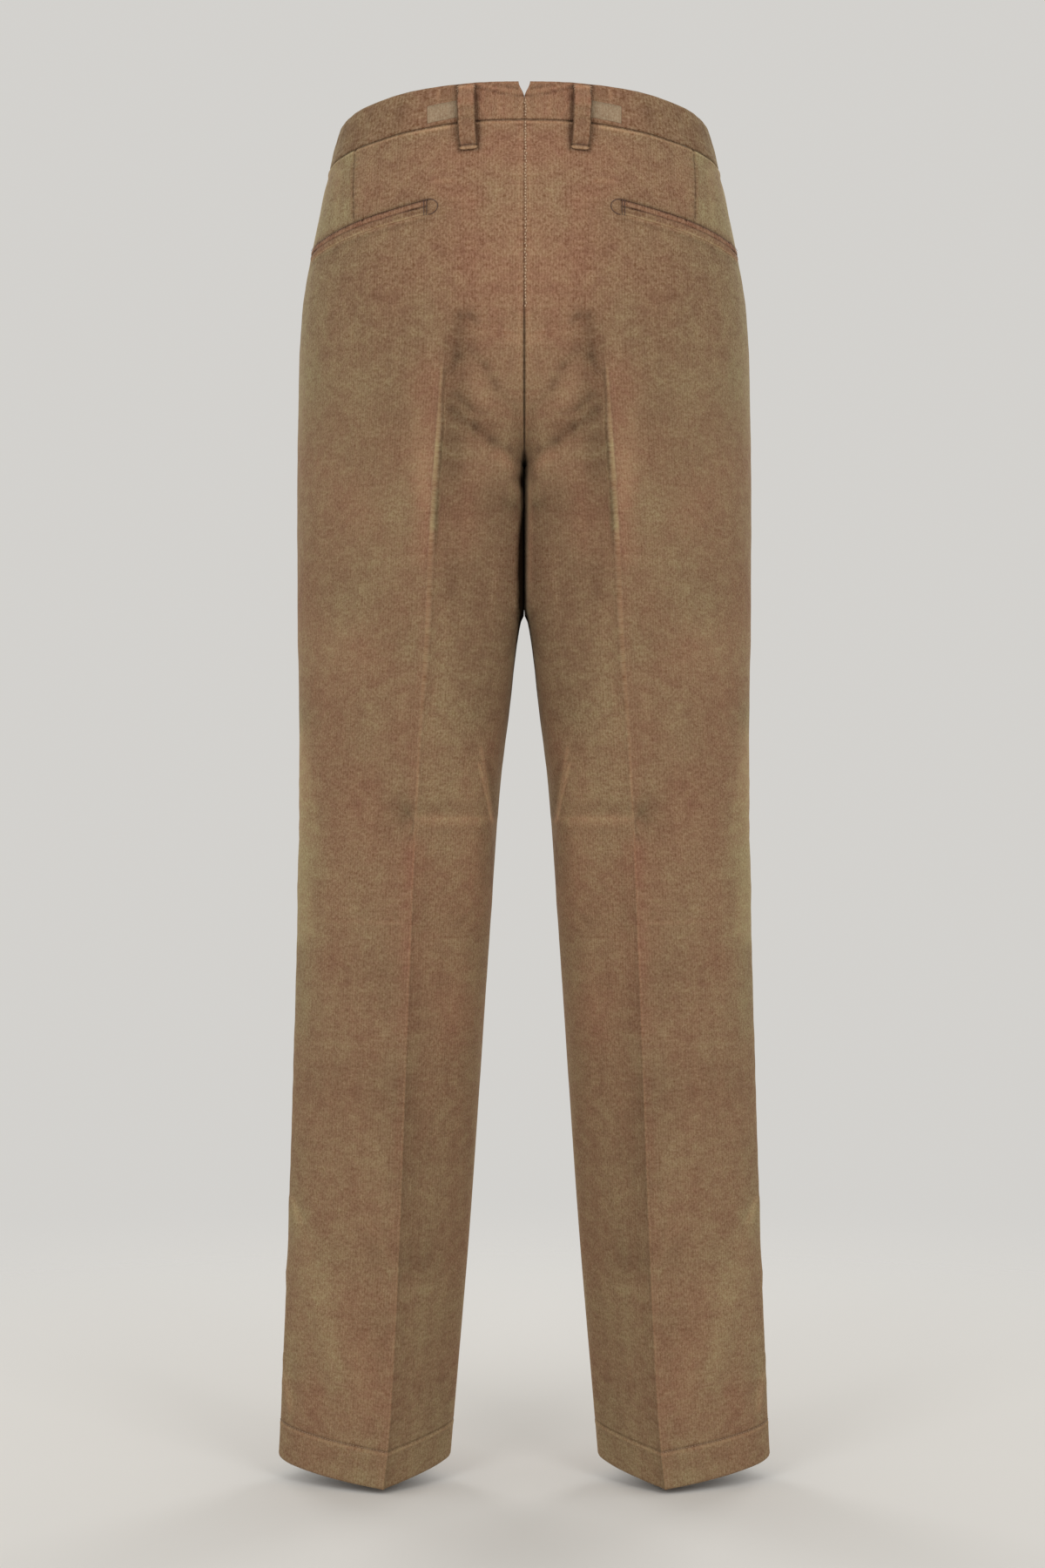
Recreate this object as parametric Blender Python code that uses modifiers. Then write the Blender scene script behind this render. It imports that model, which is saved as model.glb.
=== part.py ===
"""Corduroy trousers in their worn form with nobody inside: open cloth walls with pressed creases.

+Z is up, the front faces -Y and the wearer's left is +X. The origin is the middle of the waist,
at the height of the waistband seam at the centre back. Sizes are in millimetres until MM.

A place on the cloth is named by four things: face (BACK or FRONT), t (0 at the centre seam or
inseam, 0.5 at the pressed crease, 1 at the side seam), level (height at the side seam) and lift
(distance out from the cloth). side is LEFT or RIGHT, which only mirrors it.
"""

import math

import bmesh
import bpy
import numpy as np

MM = 0.001
BACK, FRONT = 1, -1
LEFT, RIGHT = 1, -1
SIDE_NAMES = {LEFT: "left", RIGHT: "right"}

# Cloth
CLOTH = 1.5
HEM_CLOTH = 3.0
BAND_CLOTH = 3.0
STRIP_CLOTH = 1.8
SEAM_GAP = 0.3
LAID_GAP = 0.35

# Levels, measured at the side seam. The waist rises from there to the centre back, steeply at the
# seam and more evenly at the band's top edge, and falls a little to the front. The hem is lowest
# at the back.
BAND_TOP = 10.5
WAIST = -17.3
CROTCH = -262.0
THIGHS_PART = -369.0
HEM = -1047.0
HEM_DEPTH = 29.0
WAIST_RISE, BAND_RISE = 18.6, 20.5
WAIST_RISE_POWER, BAND_RISE_POWER = 2.5, 1.3
WAIST_FALL = 9.0
WAIST_SLOPE_ENDS = -200.0
HEM_TIP = -0.24
HEM_TIP_ENDS = -830.0

# Half of the body at each level: x of the side seam, of the inside of the leg and of the back
# crease, and how deep the back and the front stand from the side seam. square is the power of the
# oval on the crease's inner side (2 is round). press_in and press_out flatten the crease's two
# sides (0 is the oval, 1 is straight to the seam), and pinch is how far its edge stands out.
# Above the crotch the inside of the leg is where its curve would end behind the centre seam.
SECTION_COLUMNS = (
    "level", "side", "inner", "crease", "back", "front", "square", "press_in", "press_out", "pinch"
)
SECTIONS = (
    (12.0, 147.0, -245.0, 59.0, 109.4, 104.0, 2.0, 0.00, 0.00, 0.0),
    (0.0, 151.4, -230.0, 60.0, 110.8, 107.0, 2.0, 0.00, 0.00, 0.0),
    (-17.3, 155.6, -215.0, 60.5, 112.5, 110.0, 2.0, 0.00, 0.00, 0.0),
    (-35.0, 160.3, -200.0, 61.0, 118.0, 113.0, 2.0, 0.00, 0.00, 0.0),
    (-60.0, 165.4, -180.0, 61.5, 125.5, 115.0, 2.0, 0.00, 0.00, 0.0),
    (-90.0, 171.3, -160.0, 62.0, 132.0, 116.5, 2.0, 0.00, 0.00, 0.0),
    (-125.0, 177.1, -128.0, 61.5, 136.5, 117.0, 2.2, 0.00, 0.02, 0.0),
    (-165.0, 180.2, -85.0, 61.5, 138.0, 116.5, 2.6, 0.00, 0.06, 2.0),
    (-190.0, 181.0, -49.0, 62.8, 137.0, 115.5, 3.0, 0.00, 0.09, 3.6),
    (-210.0, 181.4, -29.0, 64.2, 135.0, 114.6, 3.4, 0.02, 0.11, 4.3),
    (-228.0, 181.6, -15.5, 65.6, 132.0, 113.6, 3.7, 0.04, 0.14, 4.5),
    (-243.0, 181.8, -6.5, 66.8, 129.0, 112.6, 4.0, 0.07, 0.16, 4.5),
    (-255.0, 181.8, -1.4, 67.8, 126.3, 111.6, 4.3, 0.09, 0.18, 4.5),
    (-262.0, 181.8, 0.15, 68.4, 124.5, 110.8, 5.2, 0.10, 0.19, 4.5),
    (-284.0, 181.8, 0.15, 70.0, 119.1, 108.8, 8.0, 0.11, 0.21, 4.3),
    (-320.0, 181.8, 0.15, 72.5, 110.0, 105.0, 9.0, 0.12, 0.24, 4.0),
    (-369.0, 181.8, 0.15, 75.0, 99.5, 100.0, 7.8, 0.14, 0.26, 3.5),
    (-377.0, 181.7, 2.6, 75.4, 98.0, 99.0, 7.2, 0.15, 0.26, 3.5),
    (-397.0, 181.4, 5.9, 76.5, 94.5, 96.5, 5.8, 0.16, 0.27, 3.3),
    (-439.0, 180.9, 10.8, 79.5, 88.0, 91.5, 4.0, 0.18, 0.28, 3.0),
    (-509.0, 180.6, 19.3, 83.5, 80.0, 84.0, 2.8, 0.24, 0.30, 2.6),
    (-586.0, 181.7, 24.9, 87.3, 74.5, 77.5, 2.5, 0.34, 0.32, 2.3),
    (-719.0, 184.9, 33.8, 92.6, 69.5, 71.5, 2.3, 0.46, 0.38, 2.0),
    (-859.0, 189.4, 43.4, 98.0, 66.0, 67.0, 2.2, 0.58, 0.44, 1.6),
    (-999.0, 194.8, 55.1, 105.8, 63.0, 64.0, 2.1, 0.68, 0.50, 1.2),
    (-1047.0, 197.4, 59.2, 110.8, 62.0, 62.0, 2.1, 0.70, 0.50, 1.0),
)
PINCH_REACH = 8.0
HIP_FORM_ABOVE = -75.0
LEG_FORM_BELOW = -205.0
HIP_OVAL = 2 / 2.2

# Largest folds, as troughs between two places on the cloth: x and level of each end, half width
# and depth. A negative depth is a ridge. None reaches the centre seam.
FOLDS_CLEAR_OF_CENTRE = 22.0
FOLD_COLUMNS = ("face", "x1", "level1", "x2", "level2", "half_width", "depth")
FOLDS = (
    (BACK, 51.0, -156.0, 54.0, -205.0, 10.0, 3.2),
    (BACK, 47.0, -172.0, 12.0, -214.0, 11.0, 3.4),
    (BACK, 55.0, -220.0, 30.0, -242.0, 10.0, 3.4),
    (BACK, 30.0, -242.0, 6.0, -250.0, 10.0, 3.4),
    (BACK, 55.0, -252.0, 60.0, -325.0, 10.0, 3.4),
    (BACK, 38.0, -279.0, 14.0, -277.0, 15.0, -4.0),
    (BACK, 12.0, -306.0, 30.0, -303.0, 12.0, 2.0),
    (BACK, 40.0, -541.0, 96.0, -536.0, 13.0, 2.2),
    (BACK, 110.0, -524.0, 180.0, -548.0, 14.0, 1.8),
    (BACK, 50.0, -628.0, 165.0, -622.0, 15.0, 1.2),
    (BACK, 60.0, -880.0, 150.0, -905.0, 18.0, 1.6),
    (FRONT, 70.0, -190.0, 14.0, -252.0, 15.0, 3.0),
    (FRONT, 120.0, -215.0, 60.0, -290.0, 17.0, 2.4),
    (FRONT, 45.0, -505.0, 120.0, -512.0, 15.0, 2.2),
    (FRONT, 60.0, -560.0, 165.0, -548.0, 16.0, 1.8),
    (FRONT, 70.0, -930.0, 165.0, -915.0, 18.0, 1.8),
)

# Waistband, belt loops, pockets, fly and button. "across" is the tape distance from the centre.
NOTCH_WIDTH = 9.0
NOTCH_DEPTH = 11.5
BAND_LIFT = 0.6
LOOP_WIDTH = 13.5
LOOP_STAND_OFF = 4.4
LOOP_TOP = 8.2
LOOP_BOTTOM = -41.0
LOOP_TURN = 7.0
LOOPS = (
    ("back", BACK, 44.6, 42.4),
    ("side", FRONT, 158.0, 158.0),
    ("front", FRONT, 84.0, 84.0),
)
POCKET_START = 75.0
POCKET_LENGTH = 138.0
POCKET_TOP = -73.4
POCKET_FALL = 12.0
LIP_WIDTH = 5.2
LIP_CLOTH = 1.0
MOUTH_TOP_ACROSS = 172.0
MOUTH_BOTTOM = -172.0
FACING_UNDER = 14.0
FACING_SINK = 2.1
FLY_WIDTH = 38.0
FLY_BOTTOM = -176.0
FLY_CLOTH = 1.3
FLY_GAP = 0.7
BUTTON_ACROSS = 14.0
BUTTON_LEVEL = 3.0
BUTTON_RADIUS = 7.5
BUTTON_THICK = 3.4

# Mesh
CREASE_CROWDING = 1.7
CROWDED_FROM_SQUARE = 4.4
SIDE_CROWDING = 1.2
INNER_CELLS = 7
OUTER_CELLS = 7
SEAT_ROWS = 16
SEAT_CROWDING = 1.5
THIGH_ROWS = 7
LEG_ROWS = 14
BAND_CELLS = 13


def monotone(places, values):
    """A smooth curve through the values that never swings past them."""
    places, values = np.array(places, float), np.array(values, float)
    step = np.diff(places)
    slope = np.diff(values) / step
    tangent = np.concatenate([slope[:1], np.zeros(len(places) - 2), slope[-1:]])
    for i in range(1, len(places) - 1):
        before, after = slope[i - 1], slope[i]
        if before * after > 0:
            near, far = step[i - 1] + 2 * step[i], 2 * step[i - 1] + step[i]
            tangent[i] = (near + far) / (near / before + far / after)

    def at(place):
        place = np.clip(place, places[0], places[-1])
        i = np.clip(np.searchsorted(places, place) - 1, 0, len(step) - 1)
        s = (place - places[i]) / step[i]
        start = values[i] * (1 + 2 * s) + tangent[i] * step[i] * s
        end = values[i + 1] * (3 - 2 * s) - tangent[i + 1] * step[i] * (1 - s)
        return start * (1 - s) ** 2 + end * s**2

    return at


ROWS = tuple(zip(*sorted(SECTIONS)))
SIZE_AT = {
    name: monotone(ROWS[0], column)
    for name, column in zip(SECTION_COLUMNS[1:], ROWS[1:])
}


def ease(value, start, end):
    """0 before start, 1 past end, and a soft step between."""
    s = np.clip((value - start) / (end - start), 0, 1)
    return s * s * (3 - 2 * s)


def leg_form(t, side, inner, crease, depth, square, press_in, press_out, pinch):
    """A pressed leg, cut off at the centre plane: x and depth."""
    span = crease - inner
    power = 2 / square
    start = np.arccos(np.minimum(crease / span, 1) ** (1 / power))
    crowding = CREASE_CROWDING * np.maximum(square / CROWDED_FROM_SQUARE, 1)
    turned = 1 - (1 - np.clip(2 * t, 0, 1)) ** crowding
    turn = start + (math.pi / 2 - start) * turned
    inside_x = crease - span * np.maximum(np.cos(turn), 0) ** power
    inside_y = depth * np.sin(turn) ** power
    first_x = crease - span * np.cos(start) ** power
    first_y = depth * np.sin(start) ** power
    share = (inside_x - first_x) / (crease - first_x)
    inside_y += press_in * (first_y + (depth - first_y) * share - inside_y)
    turn = math.pi / 2 * np.clip(2 * t - 1, 0, 1) ** SIDE_CROWDING
    outside_x = crease + (side - crease) * np.sin(turn)
    outside_y = depth * np.cos(turn)
    outside_y += press_out * (depth * (1 - np.sin(turn)) - outside_y)
    x = np.where(t < 0.5, inside_x, outside_x)
    y = np.where(t < 0.5, inside_y, outside_y)
    return x, y + pinch * np.exp(-np.abs(x - crease) / PINCH_REACH)


def hip_form(t, side, crease, depth):
    """An oval waist or hip: x and depth."""
    crease_turn = np.arcsin((crease / side) ** (1 / HIP_OVAL))
    turn = np.where(
        t < 0.5, crease_turn * 2 * t, crease_turn + (math.pi / 2 - crease_turn) * (2 * t - 1)
    )
    return side * np.sin(turn) ** HIP_OVAL, depth * np.maximum(np.cos(turn), 0) ** HIP_OVAL


def form(face, t, level):
    """Points of the bare form on the wearer's left, with no folds."""
    t, level = np.broadcast_arrays(np.asarray(t, float), np.asarray(level, float))
    sizes = {name: size_at(level) for name, size_at in SIZE_AT.items()}
    side, inner, crease = sizes["side"], sizes["inner"], sizes["crease"]
    depth = sizes["back"] if face == BACK else sizes["front"]
    flatness = [sizes[name] for name in ("square", "press_in", "press_out", "pinch")]
    if face == FRONT:
        crease = side + np.maximum(inner, 0) - crease
    hip = ease(level, LEG_FORM_BELOW, HIP_FORM_ABOVE)
    leg_x, leg_y = leg_form(t, side, inner, crease, depth, *flatness)
    hip_x, hip_y = hip_form(t, side, crease, depth)
    x = np.maximum(leg_x + hip * (hip_x - leg_x), SEAM_GAP / 2)
    y = np.maximum(leg_y + hip * (hip_y - leg_y), SEAM_GAP / 2)
    band = ease(level, WAIST, BAND_TOP)
    if face == BACK:
        rise = WAIST_RISE + (BAND_RISE - WAIST_RISE) * band
        power = WAIST_RISE_POWER + (BAND_RISE_POWER - WAIST_RISE_POWER) * band
    else:
        rise, power = -WAIST_FALL, 1.5
    rise = rise * (y / depth) ** power * ease(level, WAIST_SLOPE_ENDS, WAIST)
    rise += HEM_TIP * face * y * ease(level, HEM_TIP_ENDS, HEM)
    return np.stack([x, face * y, level + rise], axis=-1)


def fold_depth(face, x, level):
    """How far the folds push the cloth in at this place."""
    depth = np.zeros(np.shape(x))
    for row in FOLDS:
        fold = dict(zip(FOLD_COLUMNS, row))
        if fold["face"] != face:
            continue
        run = np.array([fold["x2"] - fold["x1"], fold["level2"] - fold["level1"]])
        length = math.hypot(*run)
        along = ((x - fold["x1"]) * run[0] + (level - fold["level1"]) * run[1]) / length
        off = ((x - fold["x1"]) * run[1] - (level - fold["level1"]) * run[0]) / length
        past = np.maximum(np.maximum(-along, along - length), 0)
        depth = depth + fold["depth"] * np.exp(-(off**2 + past**2) / fold["half_width"] ** 2)
    return depth


def cloth_point(face, t, level, lift=0.0):
    """Points on the folded cloth on the wearer's left, lift mm out from it."""
    small_t, small_level = 1e-3, 0.5
    t, level = np.broadcast_arrays(np.asarray(t, float), np.asarray(level, float))
    point = form(face, t, level)
    across = form(face, np.minimum(t + small_t, 1), level) - form(face, np.maximum(t - small_t, 0), level)
    up = form(face, t, level + small_level) - form(face, t, level - small_level)
    out = np.cross(up, across) * face
    out /= np.linalg.norm(out, axis=-1, keepdims=True)
    x = point[..., 0]
    move = lift - fold_depth(face, x, level) * ease(x, 0, FOLDS_CLEAR_OF_CENTRE)
    moved = point + out * np.expand_dims(move, -1)
    moved[..., 0] = np.maximum(moved[..., 0], SEAM_GAP / 2)
    moved[..., 1] = face * np.maximum(face * moved[..., 1], SEAM_GAP / 2)
    return moved


def t_at(face, level, across):
    """The t that lies this many mm from the centre seam, measured along the cloth."""
    steps = np.linspace(0, 1, 201)
    points = form(face, steps, np.full(201, float(level)))
    tape = np.concatenate([[0], np.cumsum(np.linalg.norm(np.diff(points, axis=0), axis=1))])
    return float(np.interp(across, tape, steps))


def material(name, colour, roughness):
    made = bpy.data.materials.new(name)
    made.use_nodes = True
    shader = made.node_tree.nodes["Principled BSDF"]
    shader.inputs["Base Color"].default_value = (*colour, 1.0)
    shader.inputs["Roughness"].default_value = roughness
    shader.inputs["Metallic"].default_value = 0.0
    return made


def grid(name, across_cells, up_cells, place, flip):
    """A grid of faces whose corners place(u, v) puts in space, u across and v up."""
    shape = bmesh.new()
    bmesh.ops.create_grid(shape, x_segments=across_cells, y_segments=up_cells, size=0.5)
    corners = np.array([vertex.co[:2] for vertex in shape.verts]) + 0.5
    for vertex, point in zip(shape.verts, place(corners[:, 0], corners[:, 1])):
        vertex.co = point * MM
    if flip:
        bmesh.ops.reverse_faces(shape, faces=shape.faces)
    mesh = bpy.data.meshes.new(name)
    shape.to_mesh(mesh)
    shape.free()
    mesh.shade_smooth()
    return mesh


def cloth_piece(name, mesh, thickness, surface, thick_vertices=(), keep_clear=(None, None)):
    """A wall of cloth that grows inwards from the mesh, and is doubled at thick_vertices.

    keep_clear names the side and face whose centre and side seam planes the wall stays within.
    """
    piece = bpy.data.objects.new(name, mesh)
    trousers.objects.link(piece)
    mesh.materials.append(surface)
    wall = piece.modifiers.new("wall", "SOLIDIFY")
    wall.thickness = thickness * MM
    wall.offset = -1
    if len(thick_vertices):
        wall.vertex_group = piece.vertex_groups.new(name="doubled cloth").name
        wall.thickness_vertex_group = CLOTH / thickness
        piece.vertex_groups[0].add([int(i) for i in thick_vertices], 1.0, "REPLACE")
    graph = bpy.context.evaluated_depsgraph_get()
    piece.data = bpy.data.meshes.new_from_object(piece.evaluated_get(graph))
    piece.modifiers.clear()
    side, face = keep_clear
    for vertex in piece.data.vertices:
        if side:
            vertex.co.x = side * max(side * vertex.co.x, SEAM_GAP / 2 * MM)
        if face:
            vertex.co.y = face * max(face * vertex.co.y, SEAM_GAP / 2 * MM)
    return piece


def mirrored(points, side):
    points = np.array(points)
    points[..., 0] *= side
    return points


def panel_levels():
    """Rows from hem to waist seam, closest together round the crotch curve."""
    leg = np.linspace(HEM + HEM_DEPTH + 2, THIGHS_PART - 8, LEG_ROWS + 1)
    thigh = np.linspace(THIGHS_PART, CROTCH, THIGH_ROWS, endpoint=False)
    top = WAIST - SEAM_GAP / 2
    seat = CROTCH + (top - CROTCH) * np.linspace(0, 1, SEAT_ROWS + 1) ** SEAT_CROWDING
    return np.concatenate([[HEM, HEM + HEM_DEPTH], leg, thigh, seat])


def panel_steps():
    """t of each column: the crease always has one."""
    inner = np.linspace(0, 0.5, INNER_CELLS, endpoint=False)
    return np.concatenate([inner, np.linspace(0.5, 1, OUTER_CELLS + 1)])


def mouth_t(level):
    """Where the front panel ends: at the side seam, and above it along the pocket mouth."""
    top = t_at(FRONT, WAIST, MOUTH_TOP_ACROSS)
    rise = np.clip((level - MOUTH_BOTTOM) / (WAIST - MOUTH_BOTTOM), 0, 1)
    return 1 - (1 - top) * rise


def panel(side, face):
    """A back or front panel, from the waist seam to the turned-up hem."""
    levels, steps = panel_levels(), panel_steps()
    rows, columns = len(levels) - 1, len(steps) - 1

    def place(u, v):
        level = levels[np.rint(v * rows).astype(int)]
        t = steps[np.rint(u * columns).astype(int)]
        if face == FRONT:
            end = mouth_t(level)
            t = np.where(t > 0.5, 0.5 + (t - 0.5) * (end - 0.5) / 0.5, t)
        return mirrored(cloth_point(face, t, level), side)

    name = ("back_panel_" if face == BACK else "front_panel_") + SIDE_NAMES[side]
    mesh = grid(name, columns, rows, place, flip=side * face > 0)
    hem_rows = [i for i in range(len(mesh.vertices)) if i // (columns + 1) <= 1]
    return cloth_piece(name, mesh, HEM_CLOTH, corduroy, hem_rows, keep_clear=(side, face))


def pocket_facing(side):
    """The cloth behind the slanted mouth: sunk under the front's edge, level with it at the side."""
    bottom, top = MOUTH_BOTTOM + 6, WAIST - SEAM_GAP / 2

    def place(u, v):
        level = bottom + (top - bottom) * v
        quarter = np.array([girth(FRONT, one) for one in level])
        mouth = mouth_t(level)
        under = mouth - FACING_UNDER / quarter
        t = under + (1 - under) * u
        past_mouth = (t - mouth) * quarter
        sink = FACING_SINK * (1 - ease(past_mouth, 2.0, FACING_UNDER))
        return mirrored(cloth_point(FRONT, t, level, -sink), side)

    name = "pocket_facing_" + SIDE_NAMES[side]
    mesh = grid(name, 5, 8, place, flip=side * FRONT > 0)
    return cloth_piece(name, mesh, CLOTH, corduroy, keep_clear=(side, FRONT))


def girth(face, level):
    """Tape length from centre seam to side seam."""
    points = form(face, np.linspace(0, 1, 101), np.full(101, float(level)))
    return float(np.linalg.norm(np.diff(points, axis=0), axis=1).sum())


def waistband(side):
    """Half of the band, from the notch at the centre back round to the front closure."""
    rows = np.array([WAIST + SEAM_GAP / 2, BAND_TOP - NOTCH_DEPTH, BAND_TOP])

    def place(u, v):
        level = rows[np.rint(v * 2).astype(int)]
        back = cloth_point(BACK, np.minimum(2 * u, 1), level, BAND_LIFT)
        front = cloth_point(FRONT, np.minimum(2 - 2 * u, 1), level, BAND_LIFT)
        points = np.where((u < 0.5)[:, None], back, front)
        at_side = np.isclose(u, 0.5)
        points[at_side, 1] = 0
        opening = NOTCH_WIDTH / 2 * ease(level, BAND_TOP - NOTCH_DEPTH, BAND_TOP)
        points[:, 0] += np.where(np.isclose(u, 0), opening, 0)
        return mirrored(points, side)

    name = "waistband_" + SIDE_NAMES[side]
    mesh = grid(name, 2 * BAND_CELLS, 2, place, flip=side > 0)
    return cloth_piece(name, mesh, BAND_CLOTH, corduroy, keep_clear=(side, None))


def belt_loop(label, side, face, top_across, bottom_across):
    """A folded strip that stands off the band between its two sewn ends."""

    def place(u, v):
        level = LOOP_BOTTOM + (LOOP_TOP - LOOP_BOTTOM) * v
        from_end = (LOOP_TOP - LOOP_BOTTOM) * np.minimum(v, 1 - v)
        stand_off = LOOP_STAND_OFF * ease(from_end, LOOP_TURN / 2, LOOP_TURN / 2 + LOOP_TURN)
        lift = LAID_GAP + BAND_LIFT + stand_off + STRIP_CLOTH
        across = bottom_across + (top_across - bottom_across) * v + (u - 0.5) * LOOP_WIDTH
        t = np.array([t_at(face, one, tape) for one, tape in zip(level, across)])
        return mirrored(cloth_point(face, t, level, lift), side)

    name = f"belt_loop_{label}_{SIDE_NAMES[side]}"
    return cloth_piece(name, grid(name, 2, 14, place, flip=side * face > 0), STRIP_CLOTH, corduroy)


def pocket_lip(label, side, drop):
    """One jet of a back pocket, drop mm below the pocket's top edge."""

    def place(u, v):
        across = POCKET_START + POCKET_LENGTH * u
        level = POCKET_TOP - POCKET_FALL * u - drop - LIP_WIDTH * (1 - v)
        t = np.array([t_at(BACK, one, tape) for one, tape in zip(level, across)])
        return mirrored(cloth_point(BACK, t, level, LAID_GAP + LIP_CLOTH), side)

    name = f"pocket_lip_{label}_{SIDE_NAMES[side]}"
    return cloth_piece(name, grid(name, 14, 2, place, flip=side * BACK > 0), LIP_CLOTH, corduroy)


def fly_placket():
    """The double cloth of the fly, with its rounded lower end, on the left front."""

    def place(u, v):
        top = WAIST - SEAM_GAP / 2
        level = FLY_BOTTOM + (top - FLY_BOTTOM) * v
        width = FLY_WIDTH * np.sqrt(np.clip(1 - (1 - np.clip(v / 0.25, 0, 1)) ** 2, 0.02, 1))
        t = np.array([t_at(FRONT, one, tape) for one, tape in zip(level, width * u)])
        return mirrored(cloth_point(FRONT, t, level, FLY_GAP + FLY_CLOTH), LEFT)

    mesh = grid("fly_placket", 4, 16, place, flip=False)
    return cloth_piece("fly_placket", mesh, FLY_CLOTH, corduroy, keep_clear=(LEFT, None))


def waist_button():
    """A disc with a rounded rim, standing on the left end of the band."""
    t = t_at(FRONT, BUTTON_LEVEL, BUTTON_ACROSS)
    seat = cloth_point(FRONT, t, BUTTON_LEVEL, BAND_LIFT + LAID_GAP)
    outside = cloth_point(FRONT, t, BUTTON_LEVEL, BAND_LIFT + LAID_GAP + BUTTON_THICK)
    bpy.ops.mesh.primitive_cylinder_add(
        vertices=28, radius=BUTTON_RADIUS * MM, depth=BUTTON_THICK * MM
    )
    button = bpy.context.object
    button.name = button.data.name = "waist_button"
    for collection in list(button.users_collection):
        collection.objects.unlink(button)
    trousers.objects.link(button)
    middle, axis = (seat + outside) / 2, outside - seat
    button.location = middle * MM
    button.rotation_euler = (math.atan2(-axis[1], axis[2]), 0.0, 0.0)
    button.rotation_euler[2] = math.atan2(axis[0], -axis[1])
    rim = button.modifiers.new("rounded rim", "BEVEL")
    rim.width = 1.0 * MM
    rim.segments = 2
    button.data.materials.append(horn)
    return button


for leftover in list(bpy.data.objects):
    bpy.data.objects.remove(leftover)
trousers = bpy.data.collections.new("corduroy_trousers")
bpy.context.scene.collection.children.link(trousers)
corduroy = material("brown corduroy", (0.233, 0.138, 0.077), 0.9)
horn = material("brown horn", (0.062, 0.034, 0.018), 0.35)

for one_side in (LEFT, RIGHT):
    panel(one_side, BACK)
    panel(one_side, FRONT)
    pocket_facing(one_side)
    waistband(one_side)
    for loop_label, loop_face, loop_top, loop_bottom in LOOPS:
        belt_loop(loop_label, one_side, loop_face, loop_top, loop_bottom)
    pocket_lip("upper", one_side, 0.0)
    pocket_lip("lower", one_side, LIP_WIDTH + SEAM_GAP)
fly_placket()
waist_button()
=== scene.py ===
import math

import bmesh
import bpy
import numpy as np
from mathutils import Matrix, Vector


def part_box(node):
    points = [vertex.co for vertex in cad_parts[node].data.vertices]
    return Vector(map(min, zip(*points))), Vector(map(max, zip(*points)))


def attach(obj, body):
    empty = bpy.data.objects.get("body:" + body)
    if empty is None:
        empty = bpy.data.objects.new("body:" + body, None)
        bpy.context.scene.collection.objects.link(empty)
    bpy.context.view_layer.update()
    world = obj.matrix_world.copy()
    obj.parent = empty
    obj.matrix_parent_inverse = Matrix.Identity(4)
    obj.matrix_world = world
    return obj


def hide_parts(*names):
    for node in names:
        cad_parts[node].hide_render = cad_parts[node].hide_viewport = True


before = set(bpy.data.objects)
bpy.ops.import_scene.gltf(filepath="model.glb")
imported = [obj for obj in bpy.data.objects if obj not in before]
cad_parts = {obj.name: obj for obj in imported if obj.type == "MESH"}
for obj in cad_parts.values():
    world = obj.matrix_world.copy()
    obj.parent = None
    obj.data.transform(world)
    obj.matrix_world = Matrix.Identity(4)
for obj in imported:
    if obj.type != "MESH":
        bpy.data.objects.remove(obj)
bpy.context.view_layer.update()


# Back and front panels
#
# Four pieces of brown needlecord, each cut in one from the waist seam to the turned-up hem and
# sewn at the centre seam, the inseam and the side seam. They hang open in their worn form, with a
# crease pressed down the middle of each. Lengths are in millimetres until MM.
#
# A place on the cloth is named by face (BACK or FRONT), t (0 at the centre seam or inseam, 0.5 at
# the crease, 1 at the side seam), level (height at the side seam) and lift (distance out).

MM = 0.001
BACK, FRONT = 1, -1
LEFT, RIGHT = 1, -1
SIDE_NAMES = {LEFT: "left", RIGHT: "right"}
CLOTH = 1.1
HEM_CLOTH = 2.4

BAND_TOP = 10.5
WAIST = -17.3
CROTCH = -262.0
KNEE = -550.0
HEM = -1047.0
HEM_DEPTH = 29.0

# The waist seam and the band's top edge rise at the back, both fall at the front, and the hem
# slants down to the back.
WAIST_RISE, BAND_RISE = 18.6, 20.5
WAIST_RISE_POWER, BAND_RISE_POWER = 2.5, 1.3
WAIST_FALL = 9.0
WAIST_SLOPE_ENDS = -200.0
HEM_TIP = -0.24
HEM_TIP_ENDS = -830.0

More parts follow.
